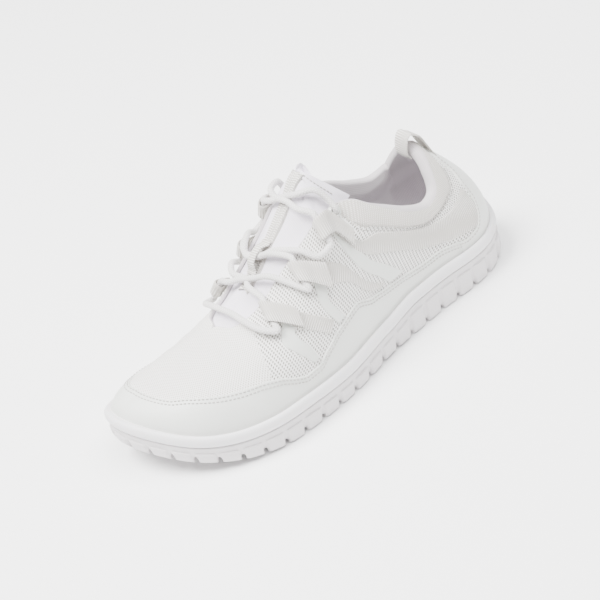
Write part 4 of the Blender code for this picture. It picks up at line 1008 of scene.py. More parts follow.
def smooth_line(line, step):
    """Smooth curve through a line of points, as points one step apart."""
    line = np.asarray(line, float)
    chords = np.linalg.norm(np.diff(line, axis=0), axis=1) ** 0.5
    knots = np.concatenate([[0.0], np.cumsum(chords)])
    dense = np.linspace(0.0, knots[-1], len(line) * 40)
    path = hermite(knots, line, np.gradient(line, knots, axis=0), dense)
    length = walked(path)
    even = np.linspace(0.0, length[-1], max(int(length[-1] / step), 4))
    return np.stack([np.interp(even, length, path[:, axis]) for axis in range(3)], -1)


def edge_round(distance, radius):
    """Height share of a rounded edge at a distance in from it."""
    part = np.clip(distance / radius, 0.0, 1.0)
    return np.sqrt(np.maximum(1 - (1 - part) ** 2, 0.0))


def seam_share(section):
    """Share of the rib at the seam under the padded collar."""
    seam = np.array(COLLAR_SEAM)
    return smooth_table(seam[:, 0], seam[:, 1], section)


def relief(side, section, share):
    """Height of the cloth over the plain upper: creases, padded collar and its seam."""
    section, share = np.broadcast_arrays(np.asarray(section, float), np.asarray(share, float))
    height = np.zeros(section.shape)
    for own, from_section, from_share, to_section, to_share, rise, width in FOLDS:
        if own != side:
            continue
        start = np.array([from_section * SECTION_SPAN, from_share * RIB_SPAN])
        way = np.array([to_section * SECTION_SPAN, to_share * RIB_SPAN]) - start
        across = np.stack([section * SECTION_SPAN, share * RIB_SPAN], -1) - start
        part = np.clip((across @ way) / (way @ way), 0.0, 1.0)
        away = np.linalg.norm(across - part[..., None] * way, axis=-1)
        fade = np.sin(np.pi * (0.08 + 0.84 * part))
        height = height + rise * fade * np.exp(-((away / width) ** 2))
    collar = 1 - ramp(section, *COLLAR_FADE)
    seam = seam_share(section)
    from_seam = (share - seam) * RIB_SPAN
    puff = np.sin(np.pi * np.clip((share - seam) / np.maximum(1.0 - seam, 0.02), 0.0, 1.0))
    groove = np.exp(-((from_seam / SEAM_WIDTH) ** 2)) * (1 - ramp(section, *SEAM_FADE))
    return height + collar * (COLLAR_PUFF * puff - SEAM_DEPTH * groove)


def cloth_point(side, section, share, out=0.0):
    """Point of the upper's cloth, with its creases, moved outwards."""
    return upper_point(side, section, share, relief(side, section, share) + out)


def on_columns(columns, shares, out=0.0, surface=cloth_point):
    """Points of the surface on columns of (side, section), one row of shares for each."""
    sides = np.array([side for side, section in columns])
    sections = np.array([section for _, section in columns], float)
    out = np.broadcast_to(out, shares.shape)
    points = np.zeros((*shares.shape, 3))
    for side in SIDE_NAMES:
        own = sides == side
        grid = np.repeat(sections[own][:, None], shares.shape[1], axis=1)
        points[own] = surface(side, grid, shares[own], out[own])
    return points


def column_cuts(columns):
    """Share of each column's rib that is kept below the opening."""
    return np.array([float(opening_share(side, section)) for side, section in columns])


def on_side(side, section, share, out, surface=upper_point):
    """Point given for the outer side; on the inner side its share fits the shorter ribs."""
    section = np.asarray(section, float)
    share = np.asarray(share, float)
    if side < 0:
        share = share * opening_share(-1, section) / opening_share(1, section)
    return surface(side, section, share, out)


def on_cloth(side, section, share, out):
    """The same on the creased cloth."""
    return on_side(side, section, share, out, cloth_point)


def sole_ring(inset, height_of, columns=SOLE_FINE):
    """Ring of points round the sole at one inset."""
    around = np.arange(columns) / columns
    edge = outline_point(around)
    flat = outline_point(around, np.full(columns, inset))
    return np.column_stack([flat, height_of(edge[:, 0])])


def sole_stack(profile, columns=SOLE_FINE):
    """Rings round the sole from rows of inset and height over the bottom or under the groove."""
    rings = []
    for inset, measured, amount in profile:
        if measured == "over":
            rings.append(sole_ring(inset, lambda x, up=amount: bottom_height(x) + up, columns))
        else:
            rings.append(sole_ring(inset, lambda x, down=amount: groove_height(x) - down, columns))
    return rings


def add_block(body, bottom, top, bevel):
    """Bevelled block between two matching loops of points."""
    low = [body.verts.new(tuple(point - ORIGIN)) for point in bottom]
    high = [body.verts.new(tuple(point - ORIGIN)) for point in top]
    faces = [body.faces.new(low), body.faces.new(high)]
    for corner in range(len(low)):
        after = (corner + 1) % len(low)
        faces.append(body.faces.new((low[corner], low[after], high[after], high[corner])))
    bmesh.ops.recalc_face_normals(body, faces=faces)
    edges = list({edge for face in faces for edge in face.edges})
    bmesh.ops.bevel(body, geom=edges, offset=bevel, segments=3, profile=0.6, affect="EDGES")


def edge_blocks(body):
    """Blocks round the edge of the tread that give the sole's side its scallops."""
    outline = outline_point(AROUND)
    length = walked(np.vstack([outline, outline[:1]]))
    count = int(round(length[-1] / LUG_PITCH))
    pitch = length[-1] / count
    half = (pitch - LUG_GAP) / 2
    around = np.append(AROUND, 1.0)
    for lug in range(count):
        middle = (lug + 0.5) * pitch
        steps = np.linspace(-1, 1, 5)
        wide = np.interp(middle + half * steps, length, around)
        narrow = np.interp(middle + LUG_TAPER * half * steps, length, around)
        foot = np.vstack([
            outline_point(wide, np.full(5, BLOCK_FOOT)),
            outline_point(wide[::-4], np.full(2, EDGE_LUG_WIDTH)),
        ])
        head = np.vstack([
            outline_point(narrow, np.full(5, BLOCK_HEAD)),
            outline_point(narrow[::-4], np.full(2, LUG_HEAD)),
        ])
        rise = bottom_height(foot[:, 0])
        top = np.full(7, rise.mean() + TREAD_DEPTH + BLOCK_SINK)
        add_block(body, np.column_stack([foot, rise]), np.column_stack([head, top]), LUG_BEVEL)


def inside_outline(corner, margin):
    """Whether a flat point lies inside the sole's outline, at least the margin from it."""
    outline = outline_point(AROUND[::4])
    if np.linalg.norm(outline - corner, axis=1).min() < margin:
        return False
    near = outline[np.abs(outline[:, 0] - corner[0]) < margin]
    return len(near) > 0 and near[:, 1].min() < corner[1] < near[:, 1].max()


def middle_blocks(body):
    """Staggered rows of blocks across the middle of the tread."""
    rows = int(LENGTH / TREAD_PITCH)
    pitch = LENGTH / rows
    length = pitch - TREAD_GAP
    width = TREAD_WIDTH - TREAD_GAP
    outline = outline_point(AROUND)
    for row in range(rows):
        x = (row + 0.5) * pitch
        near = outline[np.abs(outline[:, 0] - x) < pitch / 4]
        middle = (near[:, 1].min() + near[:, 1].max()) / 2
        for column in (-1.0, -0.5, 0.0, 0.5, 1.0):
            if (row % 2 == 0) != (column % 1 == 0):
                continue
            y = middle + column * TREAD_WIDTH
            bend = TREAD_BEND if column > 0 else -TREAD_BEND
            flat = np.array([
                (x - length / 2 - bend, y - width / 2),
                (x - length / 2 + bend, y + width / 2),
                (x + length / 2 + bend, y + width / 2),
                (x + length / 2 - bend, y - width / 2),
            ])
            if not all(inside_outline(corner, EDGE_LUG_WIDTH + LUG_GAP) for corner in flat):
                continue
            centre = flat.mean(axis=0)
            foot = centre + (flat - centre) * TREAD_TAPER
            low = bottom_height(foot[:, 0])
            high = bottom_height(flat[:, 0]) + TREAD_DEPTH + LUG_ROOT
            add_block(body, np.column_stack([foot, low]), np.column_stack([flat, high]), LUG_BEVEL)


def lug_weight(around):
    """1 over each lug of the sole's edge and 0 in the gaps between them."""
    outline = outline_point(AROUND)
    length = walked(np.vstack([outline, outline[:1]]))
    count = int(round(length[-1] / LUG_PITCH))
    pitch = length[-1] / count
    place_around = np.interp(around, np.append(AROUND, 1.0), length)
    from_middle = np.abs((place_around / pitch) % 1.0 - 0.5) * pitch
    half = (pitch - LUG_GAP) / 2
    return 1 - ramp(from_middle, half + LUG_EASE[0], half + LUG_EASE[1])


def make_outsole(colours):
    """Outsole: its scalloped side and floor, with the blocks of the tread on them."""
    around = np.arange(OUTSOLE_COLUMNS) / OUTSOLE_COLUMNS
    weight = lug_weight(around)
    x = outline_point(around)[:, 0]
    rings = []
    for gap_inset, lug_inset, measured, gap_amount, lug_amount in OUTSOLE_SKIN:
        flat = outline_point(around, gap_inset + (lug_inset - gap_inset) * weight)
        amount = gap_amount + (lug_amount - gap_amount) * weight
        height = bottom_height(x) + amount if measured == "over" else groove_height(x) - amount
        rings.append(np.column_stack([flat, height]))
    faces = quads(len(rings), OUTSOLE_COLUMNS, wrap=True) + ladder(0, OUTSOLE_COLUMNS)
    piece = make_piece(
        "rubber_outsole", np.vstack(rings), faces, [rubber_skin(colours)], crease=SOLE_SHARP
    )
    body = bmesh.new()
    body.from_mesh(piece.data)
    edge_blocks(body)
    middle_blocks(body)
    for face in body.faces:
        face.smooth = True
    body.to_mesh(piece.data)
    body.free()
    piece.data.set_sharp_from_angle(angle=math.radians(SOLE_SHARP))
    place(piece, "outsole_rubber", "outsole")


def make_bead(colours):
    """Foam bead round the foot of the upper."""
    profile = [(inwards * BEAD_WIDTH, "under", -up * BEAD_HEIGHT) for inwards, up in BEAD_SKIN]
    rings = sole_stack(profile)
    faces = quads(len(rings), SOLE_FINE, wrap=True)
    piece = make_piece(
        "midsole_bead", np.vstack(rings), faces, [foam_skin(colours)], crease=BEAD_SHARP
    )
    place(piece, "midsole_foam", "midsole_rim")


def make_insole(sizes, colours):
    """Footbed: a flat knit top that rises a little towards its edge."""
    inset = CUP_INSET + UPPER_GAP + WALL + UPPER_GAP
    floor = SOLE_PLATE + FIT_GAP + MIDSOLE + FIT_GAP
    columns = INSOLE_COLUMNS
    rings = []
    for inwards in np.linspace(0.0, 1.0, INSOLE_RINGS):
        rim = edge_round(INSOLE_ROUND - inwards * INSOLE_EASE, INSOLE_ROUND)
        lift = INSOLE_RISE * (1 - inwards) ** 2 - INSOLE_DROP * rim
        rings.append((inset + inwards * INSOLE_BAND, "over", floor + INSOLE + lift))
    stack = sole_stack([(inset, "over", floor)] + rings, columns)
    points = np.vstack(stack)
    faces = quads(len(stack), columns, wrap=True) + ladder((len(stack) - 1) * columns, columns)
    piece = make_piece(
        "knit_footbed", points, faces, [lining_knit(sizes, colours)], uvs=points[:, :2],
        middle=(0.135, 0.008, -0.1),
    )
    place(piece, "insole_fabric", "insole")


def there_and_back(side, sections):
    """Columns out along one side's sections and back along the other's."""
    out = [(side, section) for section in sections]
    return out + [(-side, section) for section in sections[-2::-1]]


def cloth_columns():
    """Side and section of each column, from the heel round the outer side and back."""
    return there_and_back(1, np.linspace(0, LAST_SECTION, LAST_SECTION * RIB_COLUMNS + 1))


def cloth_map(points):
    """Metres along the shoe and up its ribs of each point in a grid of columns."""
    along = walked(points[:, points.shape[1] // 2])
    up = walked(points, axis=1)
    return np.stack([np.repeat(along[:, None], up.shape[1], axis=1), up], -1).reshape(-1, 2)


def plan_map(piece, slot):
    """Map the faces of one material slot as seen from above, in metres."""
    layer = piece.data.uv_layers["cloth"].data
    for polygon in piece.data.polygons:
        if polygon.material_index == slot:
            for corner in polygon.loop_indices:
                spot = piece.data.vertices[piece.data.loops[corner].vertex_index].co
                layer[corner].uv = (spot.x, spot.y)


def punch_eyelets(piece):
    """Take out the faces under the eyelets."""
    body = bmesh.new()
    body.from_mesh(piece.data)
    holes = [on_side(side, *EYELET_PLACE, 0.0) - ORIGIN for side in SIDE_NAMES]
    gone = [
        face for face in body.faces
        if min(np.linalg.norm(np.array(face.calc_center_median()) - hole) for hole in holes)
        < EYELET_HOLE + 0.0005
    ]
    bmesh.ops.delete(body, geom=gone, context="FACES")
    body.to_mesh(piece.data)
    body.free()


def make_upper(sizes, colours):
    """Outer cloth of the upper: open mesh, with a ribbed knit over the collar."""
    columns = cloth_columns()
    shares = column_cuts(columns)[:, None] * np.linspace(0.0, 1.0, RIB_ROWS)
    points = on_columns(columns, shares)
    heel_gap = np.array([0.0, HEEL_GAP, 0.0])
    points[0] += heel_gap
    points[-1] -= heel_gap
    slots = []
    for (_, section), row in zip(columns[:-1], shares):
        collar = (section < KNIT_END) & (row[:-1] > float(seam_share(section)))
        below = VAMP_SLOT if section > VAMP_START else MESH_SLOT
        slots += list(np.where(collar, KNIT_SLOT, below))
    piece = make_piece(
        "mesh_upper", points.reshape(-1, 3), quads(len(columns), RIB_ROWS),
        [mesh_fabric(sizes, colours), collar_knit(sizes, colours), vamp_fabric(sizes, colours)],
        slots=slots, uvs=cloth_map(points), weld=True,
    )
    plan_map(piece, VAMP_SLOT)
    punch_eyelets(piece)
    place(piece, "mesh", "upper")


def wall_thickness(section, share):
    """Wall of the upper, thicker in the padded collar."""
    padded = 1 - ramp(section, PAD_START, COLLAR_END)
    return WALL + (COLLAR_PAD - WALL) * padded * ramp(share, *PAD_SHARES)


def make_lining(sizes, colours):
    """Inner face of the upper with the rounded edge round the opening."""
    columns = cloth_columns()
    cuts = column_cuts(columns)[:, None]
    shares = np.linspace(1.0, 0.0, LINING_ROWS)
    sections = np.array([section for _, section in columns])[:, None]
    depth = wall_thickness(sections, shares[None, :])
    inside = on_columns(columns, cuts * shares, -depth, upper_point)
    tops = on_columns(columns, cuts + np.array([0.0, -0.02]))
    middle = (tops[:, 0] + inside[:, 0]) / 2
    arm = tops[:, 0] - middle
    rise = unit(tops[:, 0] - tops[:, 1]) * np.linalg.norm(arm, axis=1, keepdims=True) * RIM_ROUND
    angles = np.linspace(0.0, np.pi, RIM_STEPS)[:-1]
    rim = [middle + arm * math.cos(angle) + rise * math.sin(angle) for angle in angles]
    around = np.array([float(rib_around(side, section)) for side, section in columns])
    foot = outline_point(around, CUP_INSET + UPPER_GAP + WALL)
    seat = bottom_height(foot[:, 0]) + SOLE_PLATE + MIDSOLE + 2 * FIT_GAP
    points = np.concatenate(
        [np.stack(rim, 1), inside, np.column_stack([foot, seat])[:, None]], axis=1
    )
    height = points.shape[1]
    open_column = sections[:, 0] < THROAT_END - 0.01
    faces = []
    for column in range(len(columns) - 1):
        skip = 0 if open_column[column] and open_column[column + 1] else len(angles)
        for row in range(skip, height - 1):
            a = column * height + row
            faces.append((a, a + 1, a + height + 1, a + height))
    piece = make_piece(
        "collar_lining", points.reshape(-1, 3), faces, [inside_knit(sizes, colours)],
        uvs=cloth_map(points), middle=(0.135, 0.008, 0.2), weld=True,
    )
    punch_eyelets(piece)
    place(piece, "tongue_fabric", "upper")


def edge_share(section):
    """Share of the rib at the upper edge of the film panels."""
    edge = np.array(OVERLAY_EDGE)
    return smooth_table(edge[:, 0], edge[:, 1], section)


def make_panel(name, columns, look, thickness, node, open_ends):
    """Film panel from the bead up to its edge, which is rolled down onto the cloth."""
    sections = np.array([section for _, section in columns])
    spread = 1 - np.linspace(0.0, 1.0, PANEL_ROWS) ** PANEL_CROWD
    shares = edge_share(sections)[:, None] * spread
    grid = on_columns(columns, shares)
    lift = edge_round(walked(grid, axis=1), EDGE_RADIUS)
    if open_ends:
        along = walked(grid[:, PANEL_ROWS // 2])
        ends = edge_round(np.minimum(along, along[-1] - along), EDGE_RADIUS)
        lift = np.minimum(lift, ends[:, None])
    points = on_columns(columns, shares, FILM_SINK + (thickness - FILM_SINK) * lift)
    piece = make_piece(
        name, points.reshape(-1, 3), quads(len(columns), PANEL_ROWS), [look], weld=True
    )
    place(piece, "overlay_film", node)


def counter_columns():
    """Side and section of each column of the heel counter, from the inner side round."""
    return there_and_back(-1, np.linspace(0.0, COUNTER_END, COUNTER_COLUMNS)[::-1])


def rand_columns():
    """Side and section of each column of the toe rand, from the outer side round the toe."""
    return there_and_back(1, np.linspace(COUNTER_END - PANEL_LAP, LAST_SECTION, RAND_COLUMNS))


def make_panels(colours):
    """Heel counter and toe rand, pressed from the same film."""
    look = film_skin(colours)
    make_panel("film_heel_counter", counter_columns(), look, COUNTER_RISE, "heel_counter", True)
    make_panel("film_toe_rand", rand_columns(), look, FILM_RISE, "toe_rand", False)


def band_grid(stations, rows, columns):
    """Even grid of (section, share) over a band given by its two edges."""
    stations = np.asarray(stations, float)
    knots = np.arange(len(stations), dtype=float)
    edges = smooth_table(knots, stations, np.linspace(0, knots[-1], rows))
    parts = np.linspace(0, 1, columns)[None, :, None]
    return edges[:, None, :2] * (1 - parts) + edges[:, None, 2:] * parts


def make_straps(sizes, colours):
    """Forked straps: a webbing band back along the shoe and a film band down from it."""
    looks = [webbing_weave(sizes, colours), film_skin(colours)]
    rows, columns = STRAP_ROWS, STRAP_COLUMNS
    for side, word in SIDE_NAMES.items():
        for number, bands in enumerate(STRAPS):
            points = []
            faces = []
            uvs = []
            first = np.array(bands[0])
            middle = (first[:2, :2] + first[:2, 2:]) / 2
            branch = np.vstack([[*middle[0], *middle[1]], bands[1]])
            for order, stations in enumerate((first, branch)):
                beyond = LONG_END if (number, order) == (2, 0) else SHORT_END
                last = stations[-1] + (stations[-1] - stations[-2]) * beyond
                stations = np.vstack([stations, last])
                places = band_grid(stations, rows, columns)
                base = on_cloth(side, places[..., 0], places[..., 1], 0.0)
                across = walked(base, axis=1)
                near = np.minimum(across, across[:, -1:] - across)
                rise = STRAP_RISE - BRANCH_DROP * order
                lift = FILM_SINK + (rise - FILM_SINK) * edge_round(near, EDGE_RADIUS)
                faces += quads(rows, columns, first=len(points) * rows * columns)
                points.append(
                    on_cloth(side, places[..., 0], places[..., 1], lift).reshape(-1, 3)
                )
                length = np.repeat(walked(base[:, columns // 2])[:, None], columns, axis=1)
                uvs.append(np.stack([length, across], -1).reshape(-1, 2))
            name = "strap_band_%s_%d" % (word, number + 1)
            slots = np.repeat((0, 1), len(faces) // 2)
            piece = make_piece(
                name, np.vstack(points), faces, looks, slots=slots, uvs=np.vstack(uvs)
            )
            place(piece, "overlay_film", "strap_%s_%d" % (word, number + 1))


def ribbon(name, low_edge, high_edge, thickness, look, step=0.0007):
    """Woven tape of even thickness with rounded edges between two matching edges."""
    low_edge = np.asarray(low_edge, float)
    high_edge = np.asarray(high_edge, float)
    both = np.concatenate([low_edge, high_edge], -1)
    middle = (low_edge + high_edge) / 2
    chords = np.linalg.norm(np.diff(middle, axis=0), axis=1) ** 0.5
    knots = np.concatenate([[0.0], np.cumsum(chords)])
    dense = hermite(
        knots, both, np.gradient(both, knots, axis=0), np.linspace(0, knots[-1], LINE_STEPS)
    )
    length = walked((dense[:, :3] + dense[:, 3:]) / 2)
    even = np.linspace(0, length[-1], max(int(length[-1] / step), 8))
    both = np.stack([np.interp(even, length, dense[:, axis]) for axis in range(6)], -1)
    low = both[:, :3]
    high = both[:, 3:]
    along = unit(np.gradient((low + high) / 2, axis=0))
    normal = unit(np.cross(along, unit(high - low)))
    width = np.linalg.norm(high - low, axis=1)[:, None, None]
    flat = np.linspace(0.0, 1.0, TAPE_SIDES)
    parts = np.concatenate([flat, flat[::-1]])
    from_edge = np.minimum(parts, 1 - parts) * float(width.mean())
    swell = edge_round(from_edge, thickness * TAPE_ROUND)
    face = np.concatenate([np.ones(TAPE_SIDES), -np.ones(TAPE_SIDES)])
    sides = face * (TAPE_EDGE + (1 - TAPE_EDGE) * swell) * thickness / 2
    ring = (
        low[:, None] * (1 - parts)[None, :, None] + high[:, None] * parts[None, :, None]
        + normal[:, None] * sides[None, :, None]
    )
    count = ring.shape[1]
    faces = quads(len(ring), count, wrap=True)
    faces.append(tuple(range(count)))
    faces.append(tuple(range((len(ring) - 1) * count, len(ring) * count)))
    uvs = np.stack([
        np.repeat(even, count),
        np.tile(parts, len(ring)) * np.repeat(width[:, 0, 0], count),
    ], -1)
    return make_piece(name, ring.reshape(-1, 3), faces, [look], uvs=uvs, closed=True,
                      crease=TAPE_SHARP)


def loop_bar_ends(side, number):
    """Where the lace crosses a loop's two edges, as (section, share)."""
    root, fold = LOOPS[number]
    ends = []
    for corner in (0, 2):
        start = np.array(root[corner:corner + 2])
        end = np.array(fold[corner:corner + 2])
        length = np.linalg.norm(on_side(side, *end, LOOP_OUT) - on_side(side, *start, LOOP_OUT))
        ends.append(end - (end - start) * (LACE / 2 + FIT_GAP + WEBBING) / length)
    return ends


def make_loops(sizes, colours):
    """Webbing folded back on itself round the lace, three loops on each side."""
    look = webbing_weave(sizes, colours)
    for side, word in SIDE_NAMES.items():
        for number in range(len(LOOPS)):
            root = LOOPS[number][0]
            edges = []
            for corner, end in zip((0, 2), loop_bar_ends(side, number)):
                start = np.array(root[corner:corner + 2])
                length = np.linalg.norm(
                    on_side(side, *end, LOOP_OUT) - on_side(side, *start, LOOP_OUT)
                )
                edge = []
                for share, past, out in LOOP_PATH:
                    spot = start + (end - start) * (share + past / length)
                    edge.append(on_side(side, *spot, out))
                edges.append(edge)
            name = "lace_loop_%s_%d" % (word, number + 1)
            place(ribbon("webbing_" + name, *edges, WEBBING, look), "webbing", name)


def tongue_face(along, across):
    """Point of the tongue's outer face; see the sections of the upper for along."""
    along, across = np.broadcast_arrays(np.asarray(along, float), np.asarray(across, float))
    section = np.maximum(along, COLLAR_END + 1)
    reach = np.abs(across)
    buried = np.maximum(ramp(reach, *TONGUE_BURIED), ramp(section, *TONGUE_UNDER))
    sunk = TONGUE_SINK + (WALL + CURVE_GAP - TONGUE_SINK) * buried
    above = np.maximum(COLLAR_END + 1 - along, 0.0)[..., None]
    arch = reach ** SOFT_ARCH
    halves = []
    for side in (1, -1):
        lowest = opening_share(side, section) - TONGUE_TUCK
        point = upper_point(side, section, 1 - reach * (1 - lowest), -sunk)
        middle, corner = np.array(TONGUE_TOP)
        top = middle + (corner * (1, side, 1) - middle) * np.stack([arch, reach, arch], -1)
        halves.append(point + (top - point) * above)
    return np.where((across >= 0)[..., None], halves[0], halves[1])


def tongue_point(along, across, out=0.0):
    """Point of the tongue's outer face, moved outwards along its normal."""
    step = 0.04
    along, across = np.broadcast_arrays(np.asarray(along, float), np.asarray(across, float))
    forward = tongue_face(along + step, across) - tongue_face(along - step, across)
    sideways = tongue_face(along, np.minimum(across + step, 1)) - tongue_face(
        along, np.maximum(across - step, -1)
    )
    out = np.broadcast_to(np.asarray(out, float), along.shape)[..., None]
    return tongue_face(along, across) + unit(np.cross(forward, sideways)) * out


def tongue_body():
    """Front, rounded top edge and back of the tongue."""
    rows, columns = TONGUE_ROWS, TONGUE_COLUMNS
    along = np.linspace(TONGUE_FOOT, COLLAR_END, rows)[:, None] * np.ones((1, columns))
    across = np.linspace(-1, 1, columns)[None, :] * np.ones((rows, 1))
    thick = TONGUE - (TONGUE - TONGUE_EDGE) * np.abs(across) ** 2
    hem = TONGUE_HEM * np.exp(-(((along - TONGUE_HEM_LINE) / TONGUE_HEM_WIDTH) ** 2))
    puff = TONGUE_PUFF * np.cos(across * np.pi / 2) * (1 - ramp(np.abs(across), 0.9, 1.0))
    waves = np.sin(along * WRINKLE_TURNS[0] + across * WRINKLE_TURNS[1])
    wrinkle = TONGUE_WRINKLE * waves * (1 - across ** 2)
    front = tongue_point(along, across, puff - hem + wrinkle)
    back = tongue_point(along, across, -thick)
    middle = (front[-1] + back[-1]) / 2
    arm = front[-1] - middle
    rise = unit(front[-1] - front[-3]) * np.linalg.norm(arm, axis=-1, keepdims=True) * RIM_ROUND
    angles = np.linspace(0, np.pi, RIM_STEPS)[1:-1]
    rim = np.array([middle + arm * math.cos(turn) + rise * math.sin(turn) for turn in angles])
    return front, rim, back


def make_tongue(sizes, colours):
    """Padded tongue: a soft crowned body with a folded, stitched top edge."""
    front, rim, back = tongue_body()
    grid = np.concatenate([front, rim, back[::-1]])
    uvs = np.stack([walked(grid, axis=1), walked(grid, axis=0)], -1).reshape(-1, 2)
    within = front[TONGUE_ROWS // 2, TONGUE_COLUMNS // 2] - np.array([0, 0, 0.002])
    piece = make_piece(
        "padded_tongue", grid.reshape(-1, 3), quads(len(grid), TONGUE_COLUMNS),
        [lining_knit(sizes, colours)], uvs=uvs, middle=tuple(within),
    )
    place(piece, "tongue_fabric", "tongue")


def tongue_across(along, distance):
    """Place across the tongue at a distance from its middle, in metres."""
    step = 0.15
    reach = tongue_face(along, step) - tongue_face(along, 0.0)
    return step * distance / np.linalg.norm(reach, axis=-1)


def tongue_along(along, distance):
    """Place along the tongue at a distance towards the toe, in metres."""
    step = 0.2
    reach = tongue_face(along + step, 0.0) - tongue_face(along, 0.0)
    return along + step * distance / np.linalg.norm(reach)


def make_strip(sizes, colours):
    """Webbing strip down the tongue and the keeper bridge on it."""
    look = webbing_weave(sizes, colours)
    rows, columns = STRIP_ROWS, STRIP_COLUMNS
    along = np.linspace(COLLAR_END + 0.01, STRIP_END, rows)[:, None] * np.ones((1, columns))
    offset = np.linspace(-0.5, 0.5, columns)[None, :] * np.ones((rows, 1)) * STRIP_WIDTH
    across = tongue_across(along, offset)
    near = np.minimum(offset + STRIP_WIDTH / 2, STRIP_WIDTH / 2 - offset)
    lift = STRIP_FOOT + (STRIP_GAP + WEBBING - STRIP_FOOT) * edge_round(near, STRIP_EDGE)
    tuck = ramp(along, COLLAR_END, COLLAR_END + 0.06)
    grid = tongue_point(along, across, lift * tuck - STRIP_TUCK * (1 - tuck))
    uvs = np.stack([walked(grid, axis=0), offset], -1).reshape(-1, 2)
    piece = make_piece(
        "webbing_tongue_strip", grid.reshape(-1, 3), quads(rows, columns), [look], uvs=uvs
    )
    place(piece, "webbing", "tongue_strip")
    edges = []
    for side in (0.5, -0.5):
        edge = []
        for distance, height in KEEPER_PATH:
            spot = tongue_along(KEEPER_PLACE, distance)
            edge.append(tongue_point(spot, tongue_across(spot, side * KEEPER_WIDTH), height))
        edges.append(edge)
    place(ribbon("webbing_lace_keeper", *edges, WEBBING, look), "webbing", "lace_keeper")


def make_pull_tab(sizes, colours):
    """Folded webbing standing up from the back of the collar."""
    out = WRAP_GAP + OVERLAY + FIT_GAP + WEBBING / 2
    pad = COLLAR_PAD + TAB_GAP + WEBBING / 2
    top = upper_point(1, 0.0, 1.0)
    middle = (top + upper_point(1, 0.0, 1.0, -pad)) / 2
    path = [
        upper_point(1, 0.0, 0.74, -0.0006),
        upper_point(1, 0.0, 0.82, 0.0008),
        upper_point(1, 0.0, 0.91, out),
        upper_point(1, 0.0, 1.0, out) + (0, 0, 0.002),
        middle + (-0.0030, 0, TAB_RISE * 0.80),
        middle + (-0.0004, 0, TAB_RISE),
        middle + (0.0028, 0, TAB_RISE * 0.80),
        upper_point(1, 0.0, 1.0, -pad) + (0.001, 0, 0.002),
        upper_point(1, 0.0, 0.97, -pad),
    ]
    half = np.array([0.0, TAB_WIDTH / 2, 0.0])
    low = [point - half for point in path]
    high = [point + half for point in path]
    look = webbing_weave(sizes, colours)
    place(ribbon("webbing_pull_tab", low, high, WEBBING, look), "webbing", "pull_tab")


def make_eyelets(colours):
    """Pressed film rings round the top eyelets, with the punched hole's wall."""
    look = film_skin(colours)
    wall = dark_gap(colours)
    turns = ROUND_SIDES
    for side, word in SIDE_NAMES.items():
        section, share = EYELET_PLACE
        centre = on_side(side, section, share, 0.0)
        out = unit(on_side(side, section, share, 0.01) - centre)
        along = unit(on_side(side, section + 0.1, share, 0.0) - centre)
        across = np.cross(out, along)
        angles = np.linspace(0, math.tau, turns, endpoint=False)
        points = []
        for radius, height in EYELET_PROFILE:
            for angle in angles:
                way = along * math.cos(angle) + across * math.sin(angle)
                points.append(centre + way * radius + out * height)
        faces = quads(len(EYELET_PROFILE), turns, wrap=True)
        slots = [0] * (turns * (len(EYELET_PROFILE) - 2)) + [1] * turns
        piece = make_piece(
            "film_eyelet_" + word, points, faces, [look, wall], slots=slots,
            middle=centre - out * 0.02,
        )
        place(piece, "overlay_film", "eyelet_" + word)


def loop_bar(side, number):
    """Places where the lace enters, lies in and leaves a loop."""
    low, high = loop_bar_ends(side, number)
    return [on_side(side, *(low + (high - low) * part), LOOP_OUT) for part in LOOP_PARTS]


def lace_route():
    """Middle line of each half of the lace, from the bottom bar to its top eyelet."""
    lines = []
    for start in (1, -1):
        line = []
        for number, rows in enumerate(LACE_ROUTE):
            line += loop_bar(start * (-1) ** number, number)
            line += [on_side(start * flip, *spot) for flip, *spot in rows]
        line += [on_side(-start, *EYELET_PLACE, out) for out in LACE_INTO_EYELET]
        lines.append(np.array(line))
    bar = [on_side(-1, *spot) for spot in LACE_BAR]
    bar += [on_side(1, *spot) for spot in LACE_BAR[::-1]]
    lines[0] = np.vstack([bar, lines[0]])
    lines[1] = np.vstack([bar[:1], lines[1]])
    return lines


def cord_tube(name, line, radius, look, step=0.0008, sides=16):
    """Round cord along a smooth line, closed at both ends."""
    path = smooth_line(line, step)
    along = unit(np.gradient(path, axis=0))
    length = walked(path)
    out = np.array([0.0, 0.0, 1.0])
    points = []
    uvs = []
    angles = np.linspace(0, math.tau, sides, endpoint=False)
    for centre, way, far in zip(path, along, length):
        out = unit(out - way * np.dot(out, way))
        across = np.cross(way, out)
        for angle in angles:
            points.append(centre + (out * math.cos(angle) + across * math.sin(angle)) * radius)
            turn = abs(angle / math.pi - 1)
            uvs.append((far, turn * math.pi * radius))
    faces = quads(len(path), sides, wrap=True)
    faces.append(tuple(range(sides)))
    faces.append(tuple(range(len(points) - sides, len(points))))
    return make_piece(name, points, faces, [look], uvs=uvs, closed=True)


def make_lace(sizes, colours):
    """The two halves of the lace, held by loops, keeper and eyelets."""
    look = cord_braid(sizes, colours)
    first, second = lace_route()
    place(cord_tube("lace_outer_start", first, LACE / 2, look), "lace_cord", "lace")
    place(cord_tube("lace_inner_start", second, LACE / 2 * SECOND_HALF, look), "lace_cord", "lace")


